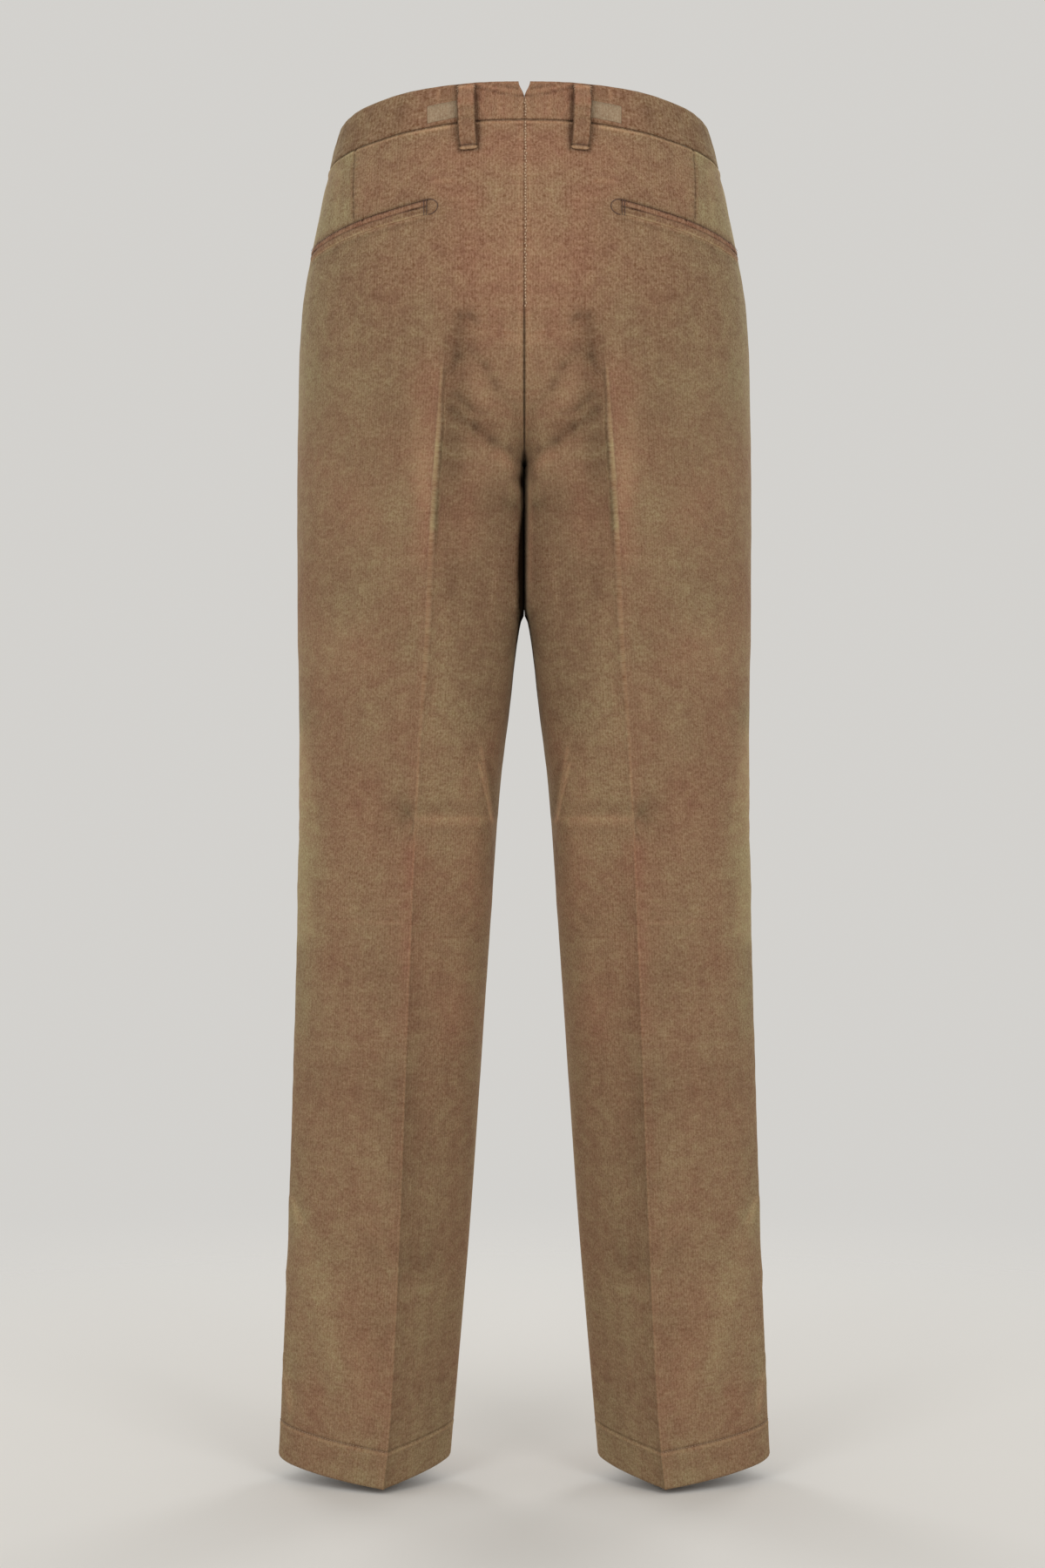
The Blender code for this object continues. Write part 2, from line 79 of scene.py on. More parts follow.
# The form at each level: x of the side seam, the inseam (below 0 above the fork) and the crease,
# depth of the back and the front, how square the leg is, how far pressing flattens its inner and
# outer halves, and how far the crease stands out.
SECTION_COLUMNS = (
    "level", "side", "inner", "crease", "back", "front", "square", "press_in", "press_out", "pinch"
)
SECTIONS = (
    (12, 147, -245, 59, 109.4, 104, 2, 0, 0, 0),
    (0, 151.4, -230, 60, 110.8, 107, 2, 0, 0, 0),
    (-17.3, 155.6, -215, 60.5, 112.5, 110, 2, 0, 0, 0),
    (-35, 160.3, -200, 61, 118, 113, 2, 0, 0, 0),
    (-60, 165.4, -180, 61.5, 125.5, 115, 2, 0, 0, 0),
    (-90, 171.3, -160, 62, 132, 116.5, 2, 0, 0, 0),
    (-125, 177.1, -128, 61.5, 136.5, 117, 2.2, 0, 0.02, 0),
    (-165, 180.2, -85, 61.5, 138, 116.5, 2.6, 0, 0.06, 2),
    (-190, 181, -49, 62.8, 137, 115.5, 3, 0, 0.09, 3.6),
    (-210, 181.4, -29, 64.2, 135, 114.6, 3.4, 0.02, 0.11, 4.3),
    (-228, 181.6, -15.5, 65.6, 132, 113.6, 4, 0.04, 0.14, 4.5),
    (-243, 181.8, -6.5, 66.8, 129, 112.6, 4.9, 0.06, 0.16, 4.5),
    (-255, 181.8, -1.4, 67.8, 126.3, 111.6, 6.1, 0.06, 0.18, 4.5),
    (-262, 181.8, 0.15, 68.4, 124.5, 110.8, 6.8, 0.06, 0.19, 4.5),
    (-284, 181.8, 0.15, 70, 119.1, 108.8, 8.4, 0.09, 0.21, 4.3),
    (-320, 181.8, 0.15, 72.5, 110, 105, 9, 0.12, 0.24, 4),
    (-369, 181.8, 0.15, 75, 99.5, 100, 7.8, 0.14, 0.26, 3.5),
    (-377, 181.7, 2.6, 75.4, 98, 99, 7.2, 0.15, 0.26, 3.5),
    (-397, 181.4, 5.9, 76.5, 94.5, 96.5, 5.8, 0.16, 0.27, 3.3),
    (-439, 180.9, 10.8, 79.5, 88, 91.5, 4, 0.18, 0.28, 3),
    (-509, 180.6, 19.3, 83.5, 80, 84, 2.8, 0.24, 0.3, 2.6),
    (-586, 181.7, 24.9, 87.3, 74.5, 77.5, 2.5, 0.34, 0.32, 2.3),
    (-719, 184.9, 33.8, 92.6, 69.5, 71.5, 2.3, 0.46, 0.38, 2),
    (-859, 189.4, 43.4, 98, 66, 67, 2.2, 0.58, 0.44, 1.6),
    (-999, 194.8, 55.1, 105.8, 63, 64, 2.1, 0.68, 0.5, 1.2),
    (-1047, 197.4, 59.2, 110.8, 62, 62, 2.1, 0.7, 0.5, 1),
)

# Above the fork the leg's form turns into the hip's, an oval. Columns crowd towards the seams.
PINCH_REACH = 8.0
FORK_ABOVE = -222.0
HIP_FORM_ABOVE = -75.0
LEG_FORM_BELOW = -205.0
HIP_OVAL = 2 / 2.2
CREASE_CROWDING = 1.7
CROWDED_FROM_SQUARE = 4.4
SIDE_CROWDING = 1.2

# Creases on each face, listed as soft troughs between two places: x and level of each end,
# half width and depth. A negative depth is a ridge.
FOLDS_CLEAR_OF_CENTRE = 22.0
FOLDS = {
    BACK: (
        (51, -156, 54, -205, 10, 3.2), (47, -172, 12, -214, 11, 3.4), (55, -220, 30, -242, 10, 3.4),
        (30, -242, 6, -250, 10, 3.4), (55, -252, 60, -325, 10, 3.4), (38, -279, 14, -277, 15, -2.2),
        (12, -306, 30, -303, 12, 2), (40, -541, 96, -536, 13, 2.2), (110, -524, 180, -548, 14, 1.8),
        (50, -628, 165, -622, 15, 1.2), (60, -880, 150, -905, 18, 1.6),
    ),
    FRONT: (
        (70, -190, 14, -252, 15, 3), (120, -215, 60, -290, 17, 2.4), (45, -505, 120, -512, 15, 2.2),
        (60, -560, 165, -548, 16, 1.8), (70, -930, 165, -915, 18, 1.8),
    ),
}
FINE_CREASES = {
    BACK: (
        (31, 9.3, 11.5, 6.6, 2, 0.5), (11.5, 6.6, 3, 5.5, 2, 0.6), (53.5, -62, 68, -61, 1.6, -0.5),
        (15.2, -166.9, 2.8, -169.9, 1.5, -0.4), (12.7, -171.9, 2.7, -174.9, 1.5, -0.4),
        (49.1, -157, 49.7, -183.8, 4, 1), (51.7, -212.5, 40.6, -223.4, 3, 0.9),
        (40.6, -223.4, 27.9, -227.4, 3, 0.6), (34, -541, 82, -540, 3.2, -1),
        (40, -531, 90, -531, 5, 0.8), (96, -529, 104, -537, 6, 1.2), (22, -549, 27, -572, 6, 0.5),
        (179, -508, 172, -531, 3.5, -0.5), (176, -536, 180, -556, 3.5, -0.4),
        (179, -560, 174, -580, 3, -0.4), (181, -590, 176, -612, 3, -0.4),
        (60, -620, 150, -621, 1.8, -0.35), (44, -617, 62, -622, 2.5, 0.6),
        (33, -606, 50, -622, 3, 0.8), (188, -842, 179, -869, 3.5, -0.7),
        (181, -846, 172, -872, 5, 1), (176, -893, 160, -935, 7, -1.4),
        (160, -942, 148, -985, 7, -1.2), (186, -880, 152, -925, 10, 1.1),
        (118, -872, 96, -905, 10, 1), (78, -905, 56, -960, 9, 0.9),
        (193, -968, 188, -984, 2.6, -0.7), (192, -988, 186, -1010, 2.6, -0.6),
        (187, -972, 183, -996, 3.5, 0.9),
    ),
    FRONT: (
        (182, -540, 170, -566, 4, -1), (28, -540, 40, -562, 5, 1.2),
        (192, -900, 180, -930, 5, -1.2), (100, -228, 50, -262, 8, 1.2), (30, -236, 8, -256, 6, 1.2),
        (150, -560, 96, -574, 8, 1), (80, -850, 120, -880, 9, 0.9),
    ),
}


def monotone(places, values):
    """A smooth curve through the values that never swings past them."""
    places, values = np.array(places, float), np.array(values, float)
    step = np.diff(places)
    slope = np.diff(values) / step
    tangent = np.concatenate([slope[:1], np.zeros(len(places) - 2), slope[-1:]])
    for i in range(1, len(places) - 1):
        before, after = slope[i - 1], slope[i]
        if before * after > 0:
            near, far = step[i - 1] + 2 * step[i], 2 * step[i - 1] + step[i]
            tangent[i] = (near + far) / (near / before + far / after)

    def at(place):
        place = np.clip(place, places[0], places[-1])
        i = np.clip(np.searchsorted(places, place) - 1, 0, len(step) - 1)
        s = (place - places[i]) / step[i]
        start = values[i] * (1 + 2 * s) + tangent[i] * step[i] * s
        end = values[i + 1] * (3 - 2 * s) - tangent[i + 1] * step[i] * (1 - s)
        return start * (1 - s) ** 2 + end * s**2

    return at


SECTION_VALUES = tuple(zip(*sorted(SECTIONS)))
SIZE_AT = {
    name: monotone(SECTION_VALUES[0], column)
    for name, column in zip(SECTION_COLUMNS[1:], SECTION_VALUES[1:])
}


def arrays(*values):
    return np.broadcast_arrays(*(np.asarray(value, float) for value in values))


def ease(value, start, end):
    """0 before start, 1 past end, and a soft step between."""
    s = np.clip((value - start) / (end - start), 0, 1)
    return s * s * (3 - 2 * s)


def bump(distance, half_width):
    return np.exp(-((distance / half_width) ** 2))


def beside(distance, lines):
    """Soft lines beside a seam or an edge: each how far past it, its half width and its height."""
    return sum(height * bump(distance - past, half_width) for past, half_width, height in lines)


def leg_form(t, level, side, inner, crease, depth, square, press_in, press_out, pinch):
    """A pressed leg, cut off at the centre plane: x and depth."""
    span = crease - inner
    power = 2 / square
    start = np.arccos(np.minimum(crease / span, 1) ** (1 / power))
    crowding = CREASE_CROWDING * np.maximum(square / CROWDED_FROM_SQUARE, 1)
    turned = 1 - (1 - np.clip(2 * t, 0, 1)) ** crowding
    turn = start + (math.pi / 2 - start) * turned
    inside_x = crease - span * np.maximum(np.cos(turn), 0) ** power
    inside_y = depth * np.sin(turn) ** power
    first_x = crease - span * np.cos(start) ** power
    first_y = depth * np.sin(start) ** power
    share = (inside_x - first_x) / (crease - first_x)
    anchor = first_y * ease(level, CROTCH, FORK_ABOVE)
    inside_y += press_in * (anchor + (depth - anchor) * share - inside_y)
    turn = math.pi / 2 * np.clip(2 * t - 1, 0, 1) ** SIDE_CROWDING
    outside_x = crease + (side - crease) * np.sin(turn)
    outside_y = depth * np.cos(turn)
    outside_y += press_out * (depth * (1 - np.sin(turn)) - outside_y)
    x = np.where(t < 0.5, inside_x, outside_x)
    y = np.where(t < 0.5, inside_y, outside_y)
    return x, y + pinch * np.exp(-np.abs(x - crease) / PINCH_REACH)


def hip_form(t, side, crease, depth):
    """An oval waist or hip: x and depth."""
    crease_turn = np.arcsin((crease / side) ** (1 / HIP_OVAL))
    turn = np.where(
        t < 0.5, crease_turn * 2 * t, crease_turn + (math.pi / 2 - crease_turn) * (2 * t - 1)
    )
    return side * np.sin(turn) ** HIP_OVAL, depth * np.maximum(np.cos(turn), 0) ** HIP_OVAL


def form(face, t, level):
    """Points of the bare form on the wearer's left, with no folds."""
    t, level = arrays(t, level)
    sizes = {name: size_at(level) for name, size_at in SIZE_AT.items()}
    side, inner, crease = sizes["side"], sizes["inner"], sizes["crease"]
    depth = sizes["back"] if face == BACK else sizes["front"]
    flatness = [sizes[name] for name in ("square", "press_in", "press_out", "pinch")]
    if face == FRONT:
        crease = side + np.maximum(inner, 0) - crease
    hip = ease(level, LEG_FORM_BELOW, HIP_FORM_ABOVE)
    leg_x, leg_y = leg_form(t, level, side, inner, crease, depth, *flatness)
    hip_x, hip_y = hip_form(t, side, crease, depth)
    x = np.maximum(leg_x + hip * (hip_x - leg_x), 0.0)
    y = np.maximum(leg_y + hip * (hip_y - leg_y), 0.0)
    band = ease(level, WAIST, BAND_TOP)
    if face == BACK:
        rise = WAIST_RISE + (BAND_RISE - WAIST_RISE) * band
        power = WAIST_RISE_POWER + (BAND_RISE_POWER - WAIST_RISE_POWER) * band
    else:
        rise, power = -WAIST_FALL, 1.5
    rise = rise * (y / depth) ** power * ease(level, WAIST_SLOPE_ENDS, WAIST)
    rise += HEM_TIP * face * y * ease(level, HEM_TIP_ENDS, HEM)
    return np.stack([x, face * y, level + rise], axis=-1)


def strokes(table, x, level):
    """The sum of a table of soft strokes at these places. Each row's last value is its depth."""
    total = np.zeros(np.shape(x))
    for x1, level1, x2, level2, half_width, depth in table:
        run = np.array([x2 - x1, level2 - level1])
        length = math.hypot(*run)
        along = ((x - x1) * run[0] + (level - level1) * run[1]) / length
        off = ((x - x1) * run[1] - (level - level1) * run[0]) / length
        past = np.maximum(np.maximum(-along, along - length), 0)
        total = total + depth * np.exp(-(off**2 + past**2) / half_width**2)
    return total


# A tape laid along the cloth at one level reads 0 at the crease, less towards the centre seam or
# inseam and more towards the side seam. These tables turn t into tape and back.
FORK_ENDS = -240
TAPE_LEVELS = np.unique(
    np.append(np.linspace(HEM - 1, BAND_TOP + 0.5, 300), np.arange(CROTCH, FORK_ENDS, 0.4))
)
TAPE_MARKS = np.linspace(0.0, 1.0, 121)
CROWDING = {-1: CREASE_CROWDING, 1: SIDE_CROWDING}


def half_t(half, mark):
    """t at a mark from 0, the crease, to 1, the seam, on the inner (-1) or outer (+1) half."""
    return 0.5 + half * 0.5 * mark ** (1 / CROWDING[half])


def tape_tables(face, half):
    points = form(face, half_t(half, TAPE_MARKS)[None, :], TAPE_LEVELS[:, None])
    runs = np.linalg.norm(np.diff(points, axis=1), axis=-1)
    tape = np.concatenate([np.zeros((len(runs), 1)), np.cumsum(runs, axis=1)], axis=1)
    shares = tape / tape[:, -1:]
    marks = np.array([np.interp(TAPE_MARKS, share, TAPE_MARKS) for share in shares])
    return tape, marks


TAPES = {(face, half): tape_tables(face, half) for face in (BACK, FRONT) for half in (-1, 1)}


def looked_up(table, level, mark):
    """Bilinear look-up at these levels and marks."""
    row = np.interp(level, TAPE_LEVELS, np.arange(len(TAPE_LEVELS)))
    column = np.clip(mark, 0, 1) * (len(TAPE_MARKS) - 1)
    r = np.minimum(row.astype(int), len(TAPE_LEVELS) - 2)
    c = np.minimum(column.astype(int), len(TAPE_MARKS) - 2)
    dr, dc = row - r, column - c
    low = table[r, c] * (1 - dc) + table[r, c + 1] * dc
    high = table[r + 1, c] * (1 - dc) + table[r + 1, c + 1] * dc
    return low * (1 - dr) + high * dr


def reach(face, half, level):
    """Tape length from the crease to the seam at the end of this half."""
    return np.interp(level, TAPE_LEVELS, TAPES[face, half][0][:, -1])


def tape_at(face, t, level):
    t, level = arrays(t, level)
    inner = looked_up(TAPES[face, -1][0], level, np.clip(1 - 2 * t, 0, 1) ** CROWDING[-1])
    outer = looked_up(TAPES[face, 1][0], level, np.clip(2 * t - 1, 0, 1) ** CROWDING[1])
    return np.where(t < 0.5, -inner, outer)


def t_at(face, tape, level):
    tape, level = arrays(tape, level)
    marks = [
        looked_up(TAPES[face, half][1], level, half * tape / reach(face, half, level))
        for half in (-1, 1)
    ]
    return np.where(tape < 0, half_t(-1, marks[0]), half_t(1, marks[1]))


def t_from_centre(face, level, across):
    return t_at(face, across - reach(face, -1, level), level)


def girth(face, level):
    return reach(face, -1, level) + reach(face, 1, level)


def from_seams(face, level, tape):
    """Distance from the centre seam or inseam, and from the side seam."""
    return tape + reach(face, -1, level), reach(face, 1, level) - tape


def wander(place, spacing, seed):
    """A smooth uneven wave, from -1 to 1, whose crests are about spacing apart."""
    phase = 2 * math.pi * place / spacing
    return (
        np.sin(phase + 1.7 * np.sin(phase * 0.31 + seed)) * 0.6
        + np.sin(phase * 1.37 + seed * 2.1) * 0.4
    )


# The back dart, sewn from the waist seam down to the pocket: t and level at its two ends.
DART_TOP, DART_BOTTOM = (0.759, WAIST), (0.718, -77.0)

# The pressed crease starts this far below the origin and is sharpest above the levels where it
# fades. The centre seam's gathers set in above the fork, and the seam sinks deeper down the seat.
CREASE_TOP = 186.0
CREASE_FADES = (-345.0, -290.0)
CENTRE_SEWN = (-258, -225)
SEAM_DEEPENS = (130, 170)

# Gathers along the seams, as the spacing of their crests.
CENTRE_PUCKER = 5.6
SIDE_PUCKER = 31.0
WAIST_PUCKER = 10.0
DART_PUCKER = 8.0


def dart_tape(level):
    """Tape at the dart, and below it at the same share of the outer half."""
    t = np.interp(level, (DART_BOTTOM[1], DART_TOP[1]), (DART_BOTTOM[0], DART_TOP[0]))
    at = np.maximum(level, DART_BOTTOM[1])
    return tape_at(BACK, t, at) * reach(BACK, 1, level) / reach(BACK, 1, at)


# The back pockets press a line into the cloth above and below their lips.
POCKET_START = 75.0
POCKET_LENGTH = 138.0
POCKET_TOP = -73.4
POCKET_FALL = 12.0
LIP_WIDTH = 5.2

# The belt loops by name, face, and tape from the centre seam at their top and bottom. Down both
# sides of each, shade is painted on the cloth.
LOOP_WIDTH = 13.5
LOOP_TOP = 8.2
LOOP_BOTTOM = -41.0
LOOPS = (
    ("back", BACK, 44.6, 42.4),
    ("side", FRONT, 158.0, 158.0),
    ("front", FRONT, 84.0, 84.0),
)


def pocket_drop(level, tape):
    """How far below a back pocket's top edge, and 1 within the pocket's length."""
    across = tape + reach(BACK, -1, level)
    along = (across - POCKET_START) / POCKET_LENGTH
    within = ease(along, -0.015, 0.01) * (1 - ease(along, 0.99, 1.0))
    return POCKET_TOP - POCKET_FALL * along - level, within


def beside_loops(face, level, tape):
    """1 along both sides of each belt loop."""
    across = tape + reach(face, -1, level)
    on_loop = ease(level, LOOP_BOTTOM - 1.5, LOOP_BOTTOM + 0.5)
    total = 0 * across
    for _, loop_face, top, bottom in LOOPS:
        if loop_face == face:
            middle = np.interp(level, (LOOP_BOTTOM, LOOP_TOP), (bottom, top))
            total += on_loop * bump(np.abs(across - middle) - LOOP_WIDTH / 2 - 0.5, 2.6)
    return total


# How far sewing and pressing move the cloth out (+) or in (-) beside each line: how far past the
# line, half width and height.
SIDE_SEAM = ((0, 1.3, -0.8), (4, 2.4, 0.25))
CREASE = ((0, 0.8, 0.45), (-2.6, 1.6, -0.25))
WAIST_SEAM = ((0, 1.1, -1.0), (3.4, 2.0, 0.85))
HEM_LINE = ((0, 0.8, -0.45), (-2.6, 1.6, 0.25), (-HEM_DEPTH, 1.0, -0.6))
DART = ((0, 1.1, -0.9), (3.5, 2.5, 0.3))
POCKET_EDGES = ((2 * LIP_WIDTH + 1.8, 1.1, 0.5), (-0.5, 1.0, -0.5))


def seam_relief(face, level, tape):
    """How far sewing pulls the cloth in at its seams and lets it puff beside them."""
    from_centre, from_side = from_seams(face, level, tape)
    sunk = 0.12 + 0.43 * ease(-level, *SEAM_DEEPENS)
    centre = 0.35 * bump(from_centre - 3, 1.8) - sunk * bump(from_centre, 0.9)
    out = ease(level, CROTCH - 4, CROTCH + 20) * centre
    sewn = ease(level, *CENTRE_SEWN) * (1 - ease(level, -30, WAIST))
    out += 0.34 * sewn * wander(level, CENTRE_PUCKER, 0.4) * bump(from_centre - 2, 3.6)
    out += beside(from_side, SIDE_SEAM)
    out += 0.12 * wander(level, SIDE_PUCKER, 1.9) * bump(from_side, 9) * ease(-level, 330, 420)
    pressed = ease(-level, CREASE_TOP, CREASE_TOP + 14) * (0.45 + 0.55 * ease(level, *CREASE_FADES))
    out += pressed * beside(tape, CREASE)
    below_waist, above_hem = WAIST - level, level - HEM - HEM_DEPTH
    out += beside(below_waist, WAIST_SEAM)
    out += 0.22 * wander(tape, WAIST_PUCKER, 3.3) * bump(below_waist - 5, 5)
    inner_half = (1 - ease(tape, -4, 2)) * ease(from_centre, 1, 14)
    out += beside(above_hem, HEM_LINE) + inner_half * 0.6 * bump(above_hem + 2, 1.4)
    if face == BACK:
        past_dart = tape - dart_tape(level)
        on_dart = ease(level, DART_BOTTOM[1] - 3, DART_BOTTOM[1] + 6)
        pucker = 0.4 + 0.4 * wander(level, DART_PUCKER, 0.9)
        out += on_dart * (beside(past_dart, DART) + pucker * bump(past_dart + 4.5, 3.2))
        drop, within = pocket_drop(level, tape)
        out += within * beside(drop, POCKET_EDGES)
    return out


# Waves of cloth that has been worn and washed: height, length across and down, how far its lines
# bend across and over what length, and the same down.
SOFT_WAVES = (
    (0.42, 17, 34, 0.9, 57, 1.3, 24),
    (0.17, 5.9, 9.7, 1.4, 13, 1.0, 9),
    (0.07, 2.9, 3.7, 1.9, 5.3, 1.0, 4),
)
FRONT_WAVE_SHIFT = 3.7


def soft_waves(face, level, tape):
    """Slight unevenness of the cloth. Its smallest waves fade out down the leg."""
    shift = 0.0 if face == BACK else FRONT_WAVE_SHIFT
    wide, small, tiny = (
        height * np.sin(tape / across + bend_across * np.sin(level / across_run + shift))
        * np.sin(level / down + bend_down * np.sin(tape / down_run))
        for height, across, down, bend_across, across_run, bend_down, down_run in SOFT_WAVES
    )
    return wide + small + tiny * ease(level, -420, -200)


# Just below the crotch the thighs press on each other, so nothing shows between them.
TOUCHING_X = 1.5
TOUCH = 0.4
SEWN_REACH = 6.0
CREASE_REACH = 8.0


def cloth_point(face, t, level, lift=0.0):
    """Points on the cloth on the wearer's left, lift mm out from it."""
    small_t, small_level = 1e-3, 0.5
    t, level = arrays(t, level)
    point = form(face, t, level)
    across = form(face, np.minimum(t + small_t, 1), level)
    across = across - form(face, np.maximum(t - small_t, 0), level)
    up = form(face, t, level + small_level) - form(face, t, level - small_level)
    out = np.cross(up, across) * face
    out /= np.linalg.norm(out, axis=-1, keepdims=True)
    x = point[..., 0]
    tape = tape_at(face, t, level)
    from_centre, from_side = from_seams(face, level, tape)
    # Two panels sewn together move as one at their seam.
    off_centre = ease(from_centre, 0, SEWN_REACH)
    clear = ease(from_side, 0, SEWN_REACH) * off_centre
    folded = strokes(FOLDS[face], x, level) * ease(x, 0, FOLDS_CLEAR_OF_CENTRE)
    folded = (folded + strokes(FINE_CREASES[face], x, level)) * clear
    on_panel = 1 - ease(level, WAIST - 0.5, WAIST + 0.5)
    move = lift - folded + on_panel * seam_relief(face, level, tape)
    move = move + soft_waves(face, level, tape) * clear
    # At the centre seam and down the crease the cloth moves straight in or out, so that its two
    # sides stay joined.
    own_way = np.minimum(off_centre + (level < CROTCH), 1) * ease(np.abs(tape), 0, CREASE_REACH)
    straight = np.stack([0 * x, face + 0 * x, 0 * x], axis=-1)
    out = straight + (out - straight) * np.expand_dims(own_way, -1)
    out /= np.linalg.norm(out, axis=-1, keepdims=True)
    move = np.where((x < TOUCHING_X) & (level < CROTCH), np.maximum(move, TOUCH), move)
    moved = point + out * np.expand_dims(move, -1)
    moved[..., 0] = np.maximum(moved[..., 0], 0)
    moved[..., 1] = face * np.maximum(face * moved[..., 1], 0)
    return moved


# Where the front panel is cut away along the slanted pocket mouth.
MOUTH_TOP_ACROSS = 172.0
MOUTH_BOTTOM = -172.0
MOUTH_TOP_T = float(t_from_centre(FRONT, WAIST, MOUTH_TOP_ACROSS))


def mouth_t(level):
    rise = np.clip((level - MOUTH_BOTTOM) / (WAIST - MOUTH_BOTTOM), 0, 1)
    return 1 - (1 - MOUTH_TOP_T) * rise


# Painted light and shade on the back, as soft strokes like the folds: lighter (+) or darker (-).
# They are mostly the shading and highlights of folds, creases and edges, with some rubbed nap.
# The nap's hue is redder (+) or greener (-); the green along the side seams is a painted sheen.
PAINTED_LIGHT_AND_RUB = (
    (58, -640, 62, -705, 18, 0.1), (176, -492, 176, -520, 8, 0.11),
    (35, -494, 25.5, -538, 0.9, 0.6), (30, -500, 23, -535, 3, -0.1),
    (82, -498, 84, -560, 1.2, 0.16), (30, -537, 80, -536, 4, 0.13),
    (28, -536.5, 84, -535.5, 1.2, 0.13), (161, -616, 96, -618, 1, 0.12),
    (150, -606.5, 132, -607.5, 0.9, 0.09), (86, -541, 90, -553, 1.6, -0.24),
    (92, -531, 85, -539, 1.8, -0.18), (30, -545, 78, -545, 4, -0.08),
    (90, -527, 96, -538, 4, -0.14), (0, -60, 0, -165, 48, 0.13),
    (48.5, -154.1, 41.1, -155.1, 3.4, -0.19), (41.1, -155.1, 35.2, -160, 3, -0.17),
    (49.1, -157, 49.7, -183.8, 4, -0.19), (49.7, -183.8, 55.7, -195.7, 3.2, -0.2),
    (41.2, -178.8, 29.3, -190.7, 4, -0.14), (29.3, -190.7, 21.3, -204.6, 4, -0.14),
    (21.3, -204.6, 6.1, -222.4, 4.5, -0.13), (51.7, -212.5, 40.6, -223.4, 2.8, -0.15),
    (40.6, -223.4, 27.9, -227.4, 2.8, -0.11), (55.1, -224.4, 37.3, -237.3, 4, -0.18),
    (37.3, -237.3, 23.5, -247.2, 4.6, -0.24), (23.5, -247.2, 8.8, -253.2, 4.2, -0.22),
    (35.8, -204.6, 30.6, -216.5, 6, 0.1), (31.2, -166.9, 9.4, -171.9, 6, 0.07),
    (15.2, -166.9, 2.8, -169.9, 1.4, 0.18), (12.7, -171.9, 2.7, -174.9, 1.4, 0.16),
    (18.7, -258.1, 6.8, -266.1, 5.4, 0.14), (6.2, -262.1, 6.2, -274, 3.4, -0.25),
    (14.8, -291.8, 3.6, -295.8, 3.6, -0.13), (8.2, -280.9, 3.6, -283.9, 2.4, 0.1),
    (49, -182, 52, -265, 10, -0.19), (52, -275, 58, -361.2, 9, -0.12),
    (20, -166, 85, -164, 22, -0.07), (8, -296, 10, -400, 10, -0.2), (26, -288, 31, -450, 18, -0.17),
    (140, -100, 100, -215, 22, -0.07), (82, -215, 84, -280, 8, 0.09),
    (75.5, -258, 77.5, -294, 6, 0.15), (58, -20.4, 84, -20.4, 1.6, 0.3),
    (176, -170, 184, -235, 9, 0.12), (44, -505, 42, -605, 14, 0.12),
    (102, -525, 108, -545, 10, -0.1), (66, -640, 66, -665, 12, -0.12),
    (100, -740, 85, -800, 22, -0.1), (150, -905, 122, -985, 14, 0.09),
    (48, -345, 52, -500, 14, -0.08), (182, -474, 178, -625, 12, 0.38),
    (33.8, -481, 24.2, -539, 1.3, 0.4), (27.5, -492, 21.5, -532, 4, -0.13),
    (185.6, -840, 179.4, -857, 2.2, 0.3), (191, -981, 187, -1005, 2.2, 0.3),
    (118.7, -857, 101.5, -885, 4, 0.09), (73, -230.4, 81.1, -334.4, 7, 0.1),
    (68, -60.9, 53.5, -61.9, 1.3, 0.22), (66.8, 9.5, 66, 0.5, 0.9, 0.35),
    (35, -3, 29, -13, 1.2, 0.18), (20.2, 0, 19, -13, 1.5, 0.16), (31, 9.3, 11.5, 6.6, 1.6, -0.22),
    (11.5, 6.6, 3, 5.5, 1.6, -0.28), (40, -532, 96, -530, 7, -0.08), (36, -542, 82, -541, 4, 0.1),
    (24, -560, 26, -585, 7, -0.14), (181, -854, 150, -957, 11, 0.11),
    (120, -872, 84, -884, 14, -0.09), (178, -395, 128, -402, 22, 0.08),
    (156, -265, 126, -300, 20, 0.08), (110, -655, 72, -700, 20, -0.08),
    (168, -745, 110, -752, 22, -0.06), (96, -820, 78, -880, 14, -0.08),
    (150, -930, 108, -924, 13, -0.06),
)
NAP_HUE_AND_PAINTED_SHEEN = (
    (174, -590, 172, -630, 14, -0.6), (72, -640, 50, -690, 20, 0.55),
    (140, -365, 95, -400, 24, -0.45), (172, -200, 172, -214, 12, 0.5),
    (64, -935, 106, -1040, 30, -0.3), (0, -120, 30, -120, 45, 0.6),
    (68.1, -65.9, 41.3, -76.8, 9, 0.5), (66.6, -284.9, 69.7, -311.6, 2.8, -0.9),
    (18.7, -258.1, 6.8, -266.1, 5.4, 0.5), (70, -200, 80, -330, 14, 0.45),
    (40, -275, 48, -320, 16, 0.55), (170, -60, 178, -200, 24, -0.8),
    (180, -196, 180, -226, 16, -0.45), (182, -456, 178, -560, 14, -0.8),
    (176, -575, 178, -620, 14, -0.6), (178, -880, 182, -945, 15, 0.5),
    (130, -540, 150, -600, 26, 0.35), (185, -800, 192, -1040, 14, -0.5),
    (181, -854, 150, -957, 13, -0.55), (183, -560, 184, -700, 12, -0.5),
    (88, -560, 92, -700, 9, 0.35), (100, -230, 120, -260, 20, -0.25),
    (66, -1000, 58, -1045, 22, -0.45), (166, -990, 148, -1000, 18, 0.4),
    (40, -36, 118, -52, 24, 0.45), (0, -38, 66, -42, 22, 0.55), (130, -385, 150, -430, 24, 0.3),
)
